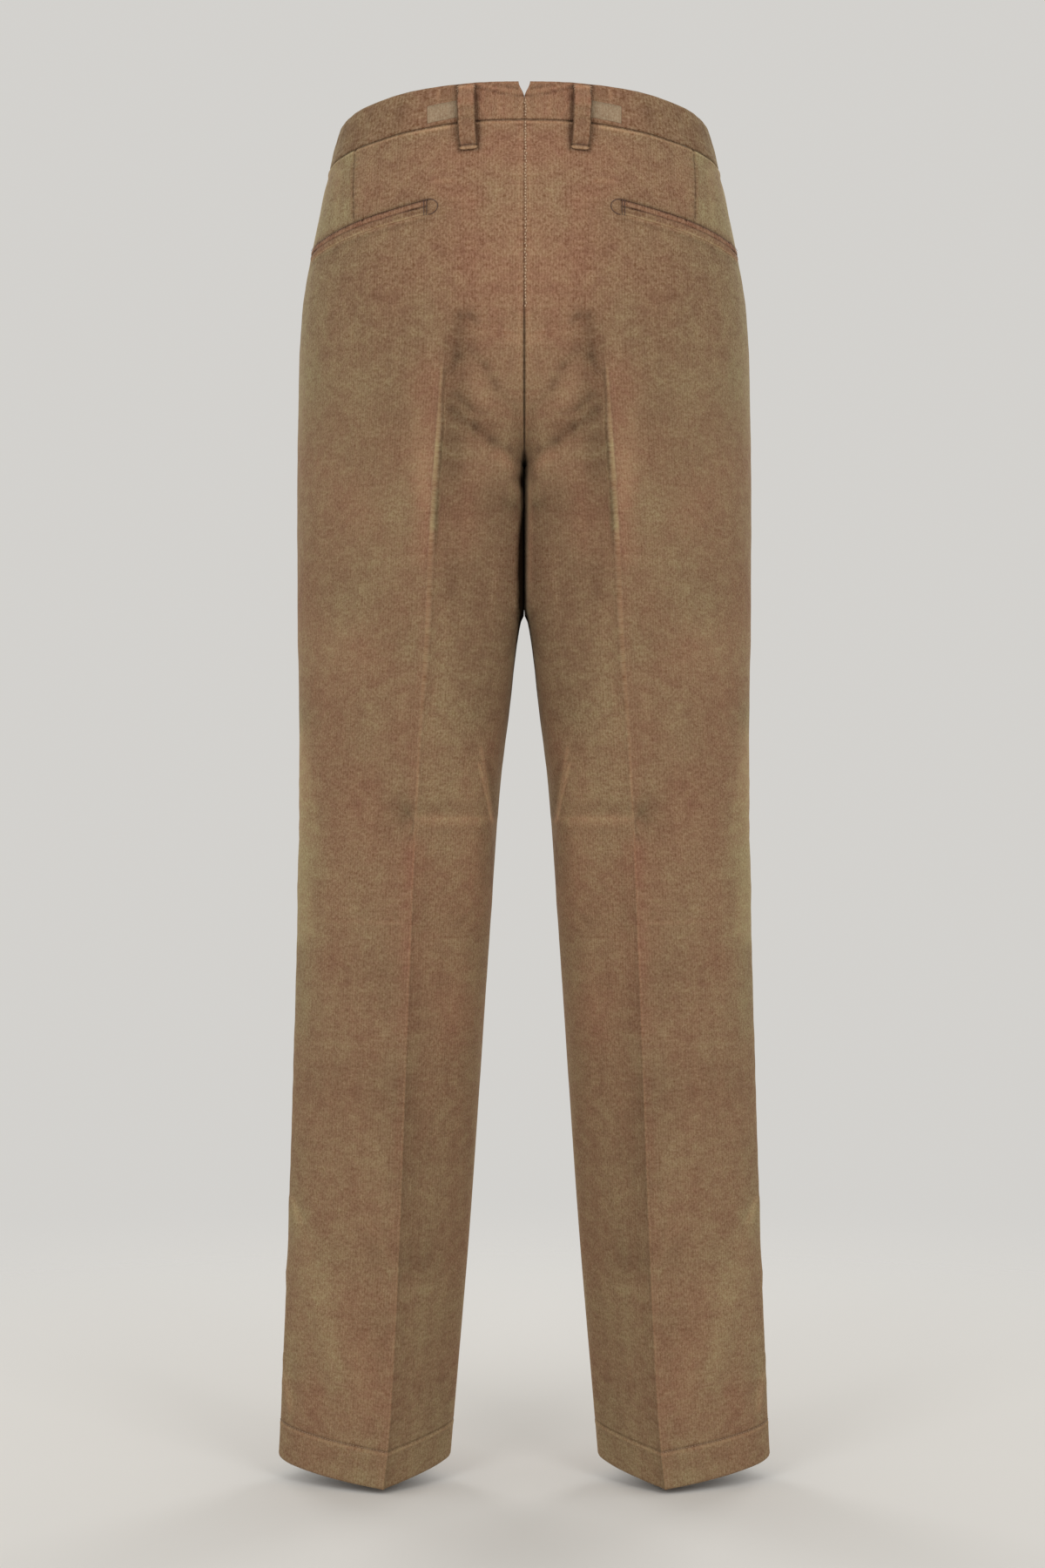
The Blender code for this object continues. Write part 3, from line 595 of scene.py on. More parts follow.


# Painted light and shade beside the same lines, lighter or redder (+) or darker or greener (-).
# The crease gets a painted highlight, partly its pressed wear, with painted shade inside it. The
# hem and the pocket get painted shade and highlights. Where the crease crosses the seat, its
# second lines are added to its first.
CREASE_HIGHLIGHT_AND_SHADE = ((0, 0.68, 0.32), (-2.4, 2.2, -0.10)), ((0, 0.68, 0.40), (-2.4, 2.2, -0.16))
CREASE_RED = ((1, 1.6, 0.3), (4, 3, 0.4)), ((1, 1.6, -0.3), (0, 0.8, -1), (-3, 2.4, -0.6))
CREASE_SHADE = ((-4.4, 1.1, 0.14), (-9.0, 7.0, -0.13))
CREASE_SHADE_LEVELS = (-312, -296), (-218, -206)
HEM_SHADE_AND_HIGHLIGHT = ((0.6, 0.9, -0.26), (-2.0, 1.2, 0.20))
POCKET_SHADE_AND_HIGHLIGHT = (
    (-0.4, 1.1, -0.44), (2 * LIP_WIDTH + 0.9, 1.0, 0.20), (2 * LIP_WIDTH + 3.6, 1.6, -0.12)
)
# How far the painted strokes reach round the side seam onto the front.
STROKES_ROUND_SIDE = 14.0
# How dark the painted shade beside the belt loops is.
BESIDE_LOOP_SHADE = 0.42
# How wide the deep shade between the thighs is at each level of the left one, and on the right one.
LEFT_SHADE_LEVELS = (-360, -330, -310, -295, -284, -277, -270, -264, -258)
LEFT_SHADE_WIDTHS = (4.2, 3.8, 2.2, 0.2, 0.8, 2.6, 2.0, 0.6, 0.0)
RIGHT_SHADE_WIDTH = 0.3


def crease_painted_light(face, level, tape, from_centre):
    """Painted highlight and shade along the crease, partly its pressed wear, with the crease's red
    or green, and painted light and shade down the inner half of the leg and at its inner edge.
    """
    on_seat = ease(level, *CREASE_FADES) * (1.0 if face == BACK else 0.4)
    # worn scales the crease's painted highlight and shade together with its pressed wear.
    worn = ease(-level, CREASE_TOP, CREASE_TOP + 14) * (0.75 + 0.25 * wander(level, 86.0, 0.6))
    light, red = (
        worn * (beside(tape, everywhere) + on_seat * beside(tape, added))
        for everywhere, added in (CREASE_HIGHLIGHT_AND_SHADE, CREASE_RED)
    )
    bottom, top = CREASE_SHADE_LEVELS
    light += ease(level, *bottom) * (1 - ease(level, *top)) * beside(tape, CREASE_SHADE)
    inner_half = (1 - ease(tape, -2, 1)) * ease(-level, 400, 500)
    light += inner_half * (0.04 - 0.05 * ease(-level, 560, 640) - 0.02 * ease(-level, 700, 900))
    below_knee = ease(-level, -KNEE - 10, -KNEE + 70)
    light += below_knee * (0.11 * bump(from_centre, 12) - 0.07 * bump(tape + 7, 7))
    return light, red


def centre_painted_shade(side, level, x, from_centre):
    """Painted shade down the centre seam, with painted highlights beside it and on its puckers, and
    the painted deep shade between the thighs, which is wider on the left one."""
    dark = 0.26 * ease(-level, 22, 40) if side == LEFT else 0.0
    dark = dark + 0.08 * wander(level, 5.0, 2.0) + 0.6 * ease(-level, 120, 170)
    dark = dark * (0.45 + 0.55 * ease(-level, 90, 130))
    light = 0.10 * bump(from_centre - 3, 1.8) - dark * bump(from_centre, 0.9)
    puckered = wander(level, CENTRE_PUCKER, 0.4) * ease(level, *CENTRE_SEWN)
    light += 0.08 * puckered * bump(from_centre - 3, 3)
    left_shade = np.interp(level, LEFT_SHADE_LEVELS, LEFT_SHADE_WIDTHS)
    shade = left_shade if side == LEFT else RIGHT_SHADE_WIDTH
    light -= 0.90 * (1 - ease(x, shade - 1.2, shade + 3.8)) * ease(-level, 250, 262)
    # A painted highlight on the right thigh's edge, beside the painted shade between the thighs.
    if side == RIGHT:
        light += 0.7 * bump(x - 3, 2.6) * ease(-level, 266, 276) * ease(level, -380, -350)
    return light


def dart_painted_light(level, tape):
    """Painted shade along the dart and painted highlights on its puckers; outside it a painted
    sheen, lighter and greener, and some red inside it.
    """
    past_dart = tape - dart_tape(level)
    on_dart = ease(level, DART_BOTTOM[1] - 3, DART_BOTTOM[1] + 3)
    past_edge = ease(past_dart, 0, 4)
    light = ease(past_dart, 3, 12) * (0.06 + 0.07 * wander(tape, 6.5, 1.0)) + 0.08 * past_edge
    light -= (0.36 - 0.16 * wander(level, 5.5, 4.0)) * bump(past_dart, 1)
    light += 0.12 * wander(level, DART_PUCKER, 0.9) * bump(past_dart + 3.5, 2.6)
    return on_dart * light, on_dart * (0.25 * bump(past_dart + 12, 9) - 0.8 * past_edge)


def painted_light_and_nap_tone(side, face, level, tape, x):
    """Painted light and shade, the nap's red or green with a painted sheen's green at the sides,
    and how worn it is, for the cloth's material.
    """
    from_centre, from_side = from_seams(face, level, tape)
    light, red = crease_painted_light(face, level, tape, from_centre)
    light += centre_painted_shade(side, level, x, from_centre)
    # The painted strokes at the side seam, light, shade and rubbed nap, reach round it onto the
    # front.
    round_side = 1.0 if face == BACK else bump(from_side, STROKES_ROUND_SIDE)
    light += round_side * strokes(PAINTED_LIGHT_AND_RUB, x, level)
    red += round_side * strokes(NAP_HUE_AND_PAINTED_SHEEN, x, level)
    # Painted shade in the waist seam and a painted highlight along the beaded ridge below it.
    below_waist = WAIST - level
    ridge_highlight = 0.8 + 0.4 * wander(tape, 4.3, 1.1)
    light += 0.50 * ridge_highlight * bump(below_waist - 2.5, 1) - 0.40 * bump(below_waist, 1)
    # Painted shade down both sides of each belt loop.
    light -= BESIDE_LOOP_SHADE * beside_loops(face, level, tape)
    # Painted highlights along the side seam and up the side of the hip.
    light += 0.16 * bump(from_side, 5) * (0.7 + 0.3 * wander(level, 27.0, 2.2))
    light += 0.30 * bump(from_side - 10, 14) * ease(level, -150, -84)
    # Painted shade in the hem's stitching and a painted highlight beside it.
    light += beside(level - HEM - HEM_DEPTH, HEM_SHADE_AND_HIGHLIGHT)
    if face == BACK:
        dart_light, dart_red = dart_painted_light(level, tape)
        drop, within = pocket_drop(level, tape)
        light += dart_light + within * beside(drop, POCKET_SHADE_AND_HIGHLIGHT)
        red += dart_red
    else:
        # On the front beside the side seam, above the dart's bottom, a painted sheen makes the
        # cloth greener.
        red -= 0.8 * round_side * ease(level, DART_BOTTOM[1] - 3, DART_BOTTOM[1] + 6)
    return light, red, 0.15 + 0.85 * ease(level, -230, -90) + 0.25 * bump(level - KNEE, 70)


def add_object(name, data):
    made = bpy.data.objects.new(name, data)
    bpy.context.scene.collection.objects.link(made)
    return made


def to_mesh(shape, name, *materials):
    """Turns a finished bmesh into a mesh."""
    mesh = bpy.data.meshes.new(name)
    shape.to_mesh(mesh)
    shape.free()
    for material in materials:
        mesh.materials.append(material)
    return mesh


def apply_modifiers(piece):
    graph = bpy.context.evaluated_depsgraph_get()
    piece.data = bpy.data.meshes.new_from_object(piece.evaluated_get(graph))
    piece.data.name = piece.name
    piece.modifiers.clear()


def vertex_places(mesh):
    places = np.empty(len(mesh.vertices) * 3)
    mesh.vertices.foreach_get("co", places)
    return places.reshape(-1, 3)


def cloth_grid(name, across, up, place, flip):
    """A grid of cloth. place(u, v) gives its points in mm, its tape UV in m, its painted light and
    shade, and its nap's red and wear."""
    shape = bmesh.new()
    bmesh.ops.create_grid(shape, x_segments=across, y_segments=up, size=0.5)
    if flip:
        bmesh.ops.reverse_faces(shape, faces=shape.faces)
    mesh = to_mesh(shape, name)
    u, v, _ = vertex_places(mesh).T + 0.5
    points, tape, *painted_light_and_nap = place(u, v)
    mesh.vertices.foreach_set("co", (points * MM).ravel())
    corner_vertex = np.empty(len(mesh.loops), dtype=np.int32)
    mesh.loops.foreach_get("vertex_index", corner_vertex)
    mesh.uv_layers.new(name="tape").data.foreach_set("uv", tape[corner_vertex].ravel())
    tone = np.ones((len(points), 4))
    for channel, values in enumerate(painted_light_and_nap):
        tone[:, channel] = values
    mesh.attributes.new("painted_light_and_nap", "FLOAT_COLOR", "POINT").data.foreach_set("color", tone.ravel())
    mesh.update()
    mesh.shade_smooth()
    return mesh


def mirrored(points, side):
    return np.array(points) * (side, 1, 1)


def tape_uv(across, level, shift=0.0):
    """UV in metres as laid on the cloth, shifted so that pieces don't repeat each other."""
    return np.stack([across, level], axis=-1) * MM + np.array(shift)


def linear(hex_colour):
    """An sRGB hex colour as linear red, green, blue and alpha."""
    values = [int(hex_colour[i : i + 2], 16) / 255 for i in (0, 2, 4)]
    return (*[v / 12.92 if v <= 0.04045 else ((v + 0.055) / 1.055) ** 2.4 for v in values], 1.0)


def node(tree, kind, inputs, **settings):
    """Adds a shader node with its settings. Each input is a value, another node's output, or
    another node, for its first output."""
    made = tree.nodes.new("ShaderNode" + kind)
    for name, value in settings.items():
        setattr(made, name, value)
    for key, value in inputs.items():
        if isinstance(value, bpy.types.Node):
            value = value.outputs[0]
        if isinstance(value, bpy.types.NodeSocket):
            tree.links.new(value, made.inputs[key])
        else:
            made.inputs[key].default_value = value
    return made


def new_material(name):
    made = bpy.data.materials.new(name)
    made.use_nodes = True
    made.node_tree.nodes.clear()
    return made, made.node_tree


# Needlecord: cut cotton pile in fine upright wales, piece-dyed and washed, so it is matt, its nap
# catches light at a glancing angle, and its colour clouds. Real wales are 1.5 mm apart; they are
# drawn at 2.2 mm, and tufts of pile at 2.1 mm, so that they show.
WALE_PITCH = 0.0022
WALE_DEPTH = 0.00035
TUFT_SIZE = 0.0021
# Cloudy noise in the cloth: size in metres, how far it is drawn out along the wales, detail,
# roughness and distortion.
NOISE = {
    "clouds": (0.06, 1.3, 2.0, 0.5, 0.0),
    "patches": (0.012, 0.75, 2.0, 0.55, 0.4),
    "tufts": (TUFT_SIZE, 1.1, 3.0, 0.9, 0.0),
    "dye": (TUFT_SIZE * 2.5, 1.1, 2.0, 0.6, 0.0),
    "streaks": (0.005, 14.0, 2.0, 0.6, 0.0),
    "crumples": (0.009, 1.0, 3.0, 0.55, 0.0),
}
PALE_TIPS = (0.78, 1.05, 1.27)
SHEEN, GLOSS = 0.22, 0.15


def weighted_sum(tree, terms, start):
    """start plus each value times its weight, as one chain of nodes."""
    for value, weight in terms:
        start = node(tree, "Math", {0: value, 1: weight, 2: start}, operation="MULTIPLY_ADD")
    return start


def needlecord(name, dark, middle, light, cloud=1.0, pile=1.0):
    made, tree = new_material(name)
    tape = node(tree, "UVMap", {}, uv_map="tape").outputs["UV"]
    painted_light_and_nap = node(tree, "Attribute", {}, attribute_name="painted_light_and_nap")
    painted_light_and_nap = node(tree, "SeparateColor", {"Color": painted_light_and_nap}).outputs
    noise = {}
    for what, (size, stretch, detail, roughness, distortion) in NOISE.items():
        place = node(tree, "Mapping", {"Vector": tape, "Scale": (1.0, 1 / stretch, 1.0)})
        grain = {"Scale": 1 / size, "Detail": detail, "Roughness": roughness}
        grain = node(tree, "TexNoise", {"Vector": place, "Distortion": distortion, **grain})
        noise[what] = grain.outputs["Fac"]
    uneven = {"Distortion": 0.9, "Detail": 2.0, "Detail Scale": 2.2, "Detail Roughness": 0.6}
    wales = node(
        tree, "TexWave", {"Vector": tape, "Scale": math.pi / 10 / WALE_PITCH, **uneven},
        wave_type="BANDS", bands_direction="X", wave_profile="SIN",
    ).outputs["Fac"]
    # How red or green it is, with the painted sheen's green.
    lean = [(noise["clouds"], 0.5 * cloud), (noise["patches"], 0.4 * cloud)]
    lean += [(noise["dye"], 0.12), (painted_light_and_nap["Green"], -0.2)]
    ramp = node(tree, "ValToRGB", {"Fac": weighted_sum(tree, lean, 0.5 - (0.9 * cloud + 0.12) / 2)})
    stops = ramp.color_ramp.elements
    stops[0].position, stops[0].color = 0.10, linear(dark)
    stops[1].position, stops[1].color = 0.78, linear(light)
    stops.new(0.5).color = linear(middle)
    # How light or dark it is, with the painted light and shade that the cloth carries. Pile tips
    # catch a paler light than the dyed cloth below them, and worn cloth is more uneven.
    tips = weighted_sum(tree, [(noise["tufts"], 2.25), (wales, 0.12)], -(2.25 + 0.12) / 2)
    worn = weighted_sum(tree, [(painted_light_and_nap["Blue"], 0.38 * pile)], pile)
    smudges = weighted_sum(tree, [(noise["patches"], 0.50)], -0.50 / 2)
    tips, smudges = (
        node(tree, "Math", {0: value, 1: worn}, operation="MULTIPLY") for value in (tips, smudges)
    )
    broad = [(noise["streaks"], 0.15), (noise["clouds"], 0.3), (smudges, 1.0), (painted_light_and_nap["Red"], 1.0)]
    broad = weighted_sum(tree, broad, 1.0 - (0.15 + 0.3) / 2)
    broad = node(tree, "Math", {0: broad, 1: 0.05}, operation="MAXIMUM")
    # Painted deep shade takes the light off the tips and the sheen too.
    open_to_light = node(tree, "Math", {0: broad, 1: 1.0}, operation="MINIMUM")
    tips, sheen, gloss = (
        node(tree, "Math", {0: value, 1: open_to_light}, operation="MULTIPLY")
        for value in (tips, SHEEN, GLOSS)
    )
    gain = {0: tips, 1: PALE_TIPS, 2: broad}
    gain = node(tree, "VectorMath", gain, operation="MULTIPLY_ADD")
    colour = node(tree, "VectorMath", {0: ramp, 1: gain}, operation="MULTIPLY")
    height = [(noise["tufts"], 1.3), (wales, 0.5), (noise["crumples"], 5.0)]
    relief = {"Strength": 0.6, "Distance": WALE_DEPTH, "Height": weighted_sum(tree, height, 0.0)}
    surface = {"Base Color": colour, "Roughness": 0.95, "IOR": 1.45, "Specular IOR Level": gloss}
    surface |= {"Sheen Weight": sheen, "Sheen Roughness": 0.45, "Sheen Tint": linear("D9C9A6")}
    surface = node(tree, "BsdfPrincipled", {"Normal": node(tree, "Bump", relief), **surface})
    node(tree, "OutputMaterial", {"Surface": surface})
    return made


cord_face = needlecord("washed brown needlecord", "926450", "8A6E54", "887859")


# The wrong side of the same cloth: unbrushed cotton twill, so it is flat, matt and a little paler,
# with fine slanted ribs. Real ribs are 0.6 mm apart; they are drawn at 0.9 mm so that they show.
def twill_back(name, colour, thread=0.0009):
    made, tree = new_material(name)
    tape = node(tree, "UVMap", {}, uv_map="tape")
    turned = node(tree, "Mapping", {"Vector": tape, "Rotation": (0, 0, math.radians(58))})
    ribs = {"Vector": turned, "Scale": math.pi / 10 / thread, "Distortion": 1.0}
    ribs = node(tree, "TexWave", ribs, wave_type="BANDS", bands_direction="X").outputs["Fac"]
    uneven = node(tree, "TexNoise", {"Vector": tape, "Scale": 40.0, "Detail": 4.0}).outputs["Fac"]
    gain = weighted_sum(tree, [(uneven, 0.3), (ribs, 0.12)], 0.8)
    shown = {0: linear(colour)[:3], "Scale": gain}
    shown = node(tree, "VectorMath", shown, operation="SCALE")
    relief = node(tree, "Bump", {"Strength": 0.3, "Distance": 0.0002, "Height": ribs})
    surface = {"Base Color": shown, "Roughness": 0.9, "Specular IOR Level": 0.2, "Normal": relief}
    node(tree, "OutputMaterial", {"Surface": node(tree, "BsdfPrincipled", surface)})
    return made


cord_back = twill_back("cotton wrong side of the needlecord", "7D624B")


def cloth_piece(
    name, cells, place, flip, thickness, own=(None, None), doubled=0, outside=cord_face,
    inside=cord_back,
):
    """A wall of cloth that grows inwards from a grid. It keeps to its own side and face, and is
    doubled over its first vertices."""
    piece = add_object(name, cloth_grid(name, *cells, place, flip))
    for material in (outside, inside):
        piece.data.materials.append(material)
    wall = piece.modifiers.new("wall", "SOLIDIFY")
    wall.thickness, wall.offset, wall.material_offset = thickness * MM, -1, 1
    if doubled:
        wall.vertex_group = piece.vertex_groups.new(name="doubled cloth").name
        wall.thickness_vertex_group = CLOTH / thickness
        piece.vertex_groups[0].add(list(range(doubled)), 1.0, "REPLACE")
    apply_modifiers(piece)
    piece.vertex_groups.clear()
    points = vertex_places(piece.data)
    for axis, half in enumerate(own):
        if half:
            points[:, axis] = half * np.maximum(half * points[:, axis], 0.0)
    piece.data.vertices.foreach_set("co", points.ravel())
    piece.data.update()
    return piece


def spread(*stretches):
    """Places along a line: each stretch is its end and the spacing of the places up to it."""
    places = [stretches[0][0]]
    for end, spacing in stretches[1:]:
        count = max(1, round(abs(end - places[-1]) / spacing))
        places.extend(np.linspace(places[-1], end, count + 1)[1:])
    return np.array(places)


PANEL_LEVELS = spread(
    (HEM, 0), (HEM + 3, 0.75), (HEM + 22, 3.2), (HEM + 36, 0.8), (-620, 3.4), (-500, 2.6),
    (-330, 3.0), (CROTCH - 3, 2.1), (CROTCH + 6, 0.75), (-102, 2.1), (-68, 1.0), (-30, 1.9),
    (WAIST, 0.8),
)
# Columns of the cloth crowd together beside the seams, the crease and the dart.
BESIDE_SEAM = np.array([0.0, 0.8, 1.6, 2.6, 4.0, 6.0, 9.0])
BESIDE_DART = np.array([0.0, 0.8, 1.7, 3.0, 4.6, 6.5])
BESIDE_CREASE = np.array([0.0, 0.5, 1.0, 1.5, 2.2, 3.2, 4.4, 6.2, 9.0])
TO_DART, PAST_DART, TO_MOUTH = 11, 9, 24


def between(start, end, count):
    """Even columns between two tapes that change with level, without the two ends."""
    share = np.arange(1, count + 1) / (count + 1)
    return start[:, None] + (end - start)[:, None] * share


# Columns that run down the inseam's side of the leg. Above the fork they close up at the seam.
WALL_COLUMNS, OTHER_COLUMNS = 11, 27
FORK = float(
    max(level for level in np.arange(CROTCH, FORK_ENDS, 0.05) if SIZE_AT["inner"](level) > 0)
)
FORK_REACH = (-420.0, -200.0)
CLOSED_UP = (2.4, 4.8)
FRONT_UV = (0.61, 0.37)


def inner_tapes(face, levels):
    """Tapes between the centre seam or inseam and the crease."""
    seam, room = -reach(face, -1, levels), BESIDE_SEAM[-1]
    even = seam + room - (seam + 2 * room) * WALL_COLUMNS / (WALL_COLUMNS + OTHER_COLUMNS)
    above = levels > FORK
    seam_above = -reach(face, -1, FORK + 1.0)
    corner = np.where(above, seam, seam_above) + CLOSED_UP[1]
    pull = np.where(above, 1 - ease(levels, FORK, FORK_REACH[1]), ease(levels, FORK_REACH[0], FORK))
    corner = even + pull * (corner - even)
    beside = room + np.where(above, pull, 0.0) * (CLOSED_UP[0] - room)
    return [
        seam[:, None] + BESIDE_SEAM * (beside / room)[:, None],
        between(seam + beside, corner, WALL_COLUMNS - 1),
        corner[:, None],
        between(corner, 0 * levels - room, OTHER_COLUMNS),
    ]


def panel_tapes(face, levels):
    """Each column's tape at every level."""
    side = reach(face, 1, levels)
    zero, room = 0 * levels, BESIDE_SEAM[-1]
    inner = inner_tapes(face, levels)
    inner.append(zero[:, None] - BESIDE_CREASE[:0:-1])
    outer = [zero[:, None] + BESIDE_CREASE]
    if face == BACK:
        dart, room_at_dart = dart_tape(levels), BESIDE_DART[-1]
        outer.append(between(zero + room, dart - room_at_dart, TO_DART))
        outer.append(dart[:, None] + np.concatenate([-BESIDE_DART[:0:-1], BESIDE_DART]))
        outer.append(between(dart + room_at_dart, side - room, PAST_DART))
    else:
        side = tape_at(face, mouth_t(levels), levels)
        outer.append(between(zero + room, side - room, TO_MOUTH))
    outer.append(side[:, None] - BESIDE_SEAM[::-1])
    return np.concatenate(inner + outer, axis=1)


def panel(side, face):
    levels = PANEL_LEVELS
    if face == FRONT:
        levels = np.unique(np.append(levels[::2], levels[-1]))
    tapes = panel_tapes(face, levels)
    rows, columns = tapes.shape[0] - 1, tapes.shape[1] - 1

    def place(u, v):
        row, column = np.rint(v * rows).astype(int), np.rint(u * columns).astype(int)
        level, tape = levels[row], tapes[row, column]
        t = np.where(column == 0, 0.0, t_at(face, tape, level))
        if face == BACK:
            t = np.where(column == columns, 1.0, t)
        uv = tape_uv(tape, level, FRONT_UV if face == FRONT else 0.0)
        painted_light_and_nap = painted_light_and_nap_tone(side, face, level, tape, form(face, t, level)[..., 0])
        return mirrored(cloth_point(face, t, level), side), uv, *painted_light_and_nap

    name = ("back_cloth_" if face == BACK else "front_cloth_") + SIDE_NAMES[side]
    in_hem = int((levels <= HEM + HEM_DEPTH).sum()) * (columns + 1)
    cells, flip = (columns, rows), side * face > 0
    return cloth_piece(name, cells, place, flip, HEM_CLOTH, own=(side, face), doubled=in_hem)


BACK_CUT = (0.357, 1.062)
FRONT_CUT = (0.343, 1.045)
for one_side in (LEFT, RIGHT):
    for one_face, part_name, cut, cut_share in (
        (BACK, "back_panel_", BACK_CUT, 0.676),
        (FRONT, "front_panel_", FRONT_CUT, 0.649),
    ):
        panel_piece = panel(one_side, one_face)
        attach(panel_piece, "root")
        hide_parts(part_name + SIDE_NAMES[one_side])


# Front pocket facings
#
# A piece of the same needlecord behind each slanted pocket mouth, sewn into the waist seam and the
# side seam. The front panel's cut edge is folded back over it.

FACING_UNDER = 14.0
FACING_SINK = 2.1


def pocket_facing(side):
    bottom, top = MOUTH_BOTTOM + 6, WAIST

    def place(u, v):
        level = bottom + (top - bottom) * v
        quarter = girth(FRONT, level)
        mouth = mouth_t(level)
        under = mouth - FACING_UNDER / quarter
        t = under + (1 - under) * u
        past_mouth = (t - mouth) * quarter
        sink = FACING_SINK * (1 - ease(past_mouth, 2.0, FACING_UNDER))
        uv, shadow = tape_uv(t * quarter, level, 0.9), -0.35 * bump(past_mouth, 4.0)
        return mirrored(cloth_point(FRONT, t, level, -sink), side), uv, shadow, 0 * level, 0.8

    name = "facing_cloth_" + SIDE_NAMES[side]
    return cloth_piece(name, (26, 60), place, side < 0, CLOTH, own=(side, FRONT))


for one_side in (LEFT, RIGHT):
    facing = pocket_facing(one_side)
    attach(facing, "root")
    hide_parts("pocket_facing_" + SIDE_NAMES[one_side])


# Waistband
#
# Two stiffened halves of folded needlecord, joined at the centre back below a V notch and closed
# left over right at the front. The top edge is a fold, so it is round.

NOTCH_WIDTH = 9.0
NOTCH_DEPTH = 11.5
NOTCH_END = BAND_TOP - NOTCH_DEPTH
BAND_FOLD = ((0, 1.5, -0.55), (4.0, 3.0, 0.35))
# Painted shade along the band's fold and a painted highlight just above it.
BAND_FOLD_SHADE_AND_HIGHLIGHT = ((0, 1.0, -0.34), (2.2, 1.1, 0.16))
BAND_LIFT = 0.6
BAND_CLOTH = 3.0
BAND_CELLS = 150
BAND_HALF = 215.0
BAND_ROWS = spread((WAIST, 0), (WAIST + 3, 0.75), (5, 1.7), (9, 1.3), (BAND_TOP, 0.5))

# Cotton twill tape lines the band: as matt as the cloth's wrong side, paler and more coarsely
# ribbed.
band_lining = twill_back("cotton waistband lining", "8B7A63", 0.0012)


def band_fold(t, level):
    """Height above the folded line that runs from the notch to the belt loops, and 1 along it."""
    return level - (NOTCH_END + 1.2 + 9.0 * ease(t, 0.02, 0.42)), 1 - ease(t, 0.36, 0.5)


def band_lift(t, level, face):
    """The band stands over the panels, its seam edge turned in and its top edge rounded."""
    lift = BAND_LIFT - 0.9 * bump(level - BAND_TOP, 1.1) - 0.7 * bump(level - WAIST, 1.0)
    if face == BACK:
        above, on_fold = band_fold(t, level)
        lift += on_fold * beside(above, BAND_FOLD)
    return lift + 0.16 * wander(t * 300 + level * 0.3, 21.0, 0.8)


def waistband(side):
    rows = BAND_ROWS

    def place(u, v):
        level = rows[np.rint(v * (len(rows) - 1)).astype(int)]
        on_back = u < 0.5
        back_t, front_t = np.minimum(2 * u, 1), np.minimum(2 - 2 * u, 1)
        back = cloth_point(BACK, back_t, level, band_lift(back_t, level, BACK))
        front = cloth_point(FRONT, front_t, level, band_lift(front_t, level, FRONT))
        points = np.where(on_back[:, None], back, front)
        points[np.isclose(u, 0.5), 1] = 0
        opening = NOTCH_WIDTH / 2 * ease(level, NOTCH_END, BAND_TOP) ** 0.8
        from_centre = points[:, 0]
        points[:, 0] += np.where(u < 0.25, opening * np.clip(1 - from_centre / 16, 0, 1), 0)
        tape = np.where(on_back, back_t, 2 - front_t) * BAND_HALF
        # Painted shade along the waist seam and a painted highlight along the top edge. On the back
        # come the painted strokes, painted shade beside the loops, along the fold and in the centre
        # notch; the band is darker towards the sides.
        light = -0.15 * bump(level - WAIST, 1.0) + 0.10 * bump(level - BAND_TOP, 1.4)
        light += on_back * strokes(PAINTED_LIGHT_AND_RUB, form(BACK, back_t, level)[..., 0], level)
        for face, t in ((BACK, back_t), (FRONT, front_t)):
            on_face = on_back == (face == BACK)
            shade = BESIDE_LOOP_SHADE * on_face
            light -= shade * beside_loops(face, level, tape_at(face, t, level))
        above, on_fold = band_fold(back_t, level)
        light += on_back * on_fold * beside(above, BAND_FOLD_SHADE_AND_HIGHLIGHT)
        light -= 0.20 * bump(from_centre, 1.4) * on_back
        light += 0.06 * wander(tape + 0.2 * level, 17.0, 0.5) + 0.09 - 0.20 * ease(back_t, 0.2, 0.7)
        red = 0.6 - 1.2 * np.where(on_back, ease(back_t, 0.5, 0.95), 1)
        return mirrored(points, side), tape_uv(tape, level, (0.2, 0.5)), light, red, 1.0

    name, cells = "band_cloth_" + SIDE_NAMES[side], (2 * BAND_CELLS, len(rows) - 1)
    return cloth_piece(
        name, cells, place, side > 0, BAND_CLOTH, own=(side, None), inside=band_lining
    )


for one_side in (LEFT, RIGHT):
    band = waistband(one_side)
    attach(band, "root")
    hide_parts("waistband_" + SIDE_NAMES[one_side])


# Back pockets
#
# Double-jetted: two narrow folded lips of needlecord meet over the slit. A bar tack closes the end
# nearest the centre, with a half-moon of stitches round it.

LIP_CLOTH = 1.0
LAID_GAP = 0.25


def pocket_place(u, drop):
    """Level and tape distance at u along the pocket, drop mm below its top edge."""
    return POCKET_TOP - POCKET_FALL * u - drop, POCKET_START + POCKET_LENGTH * u


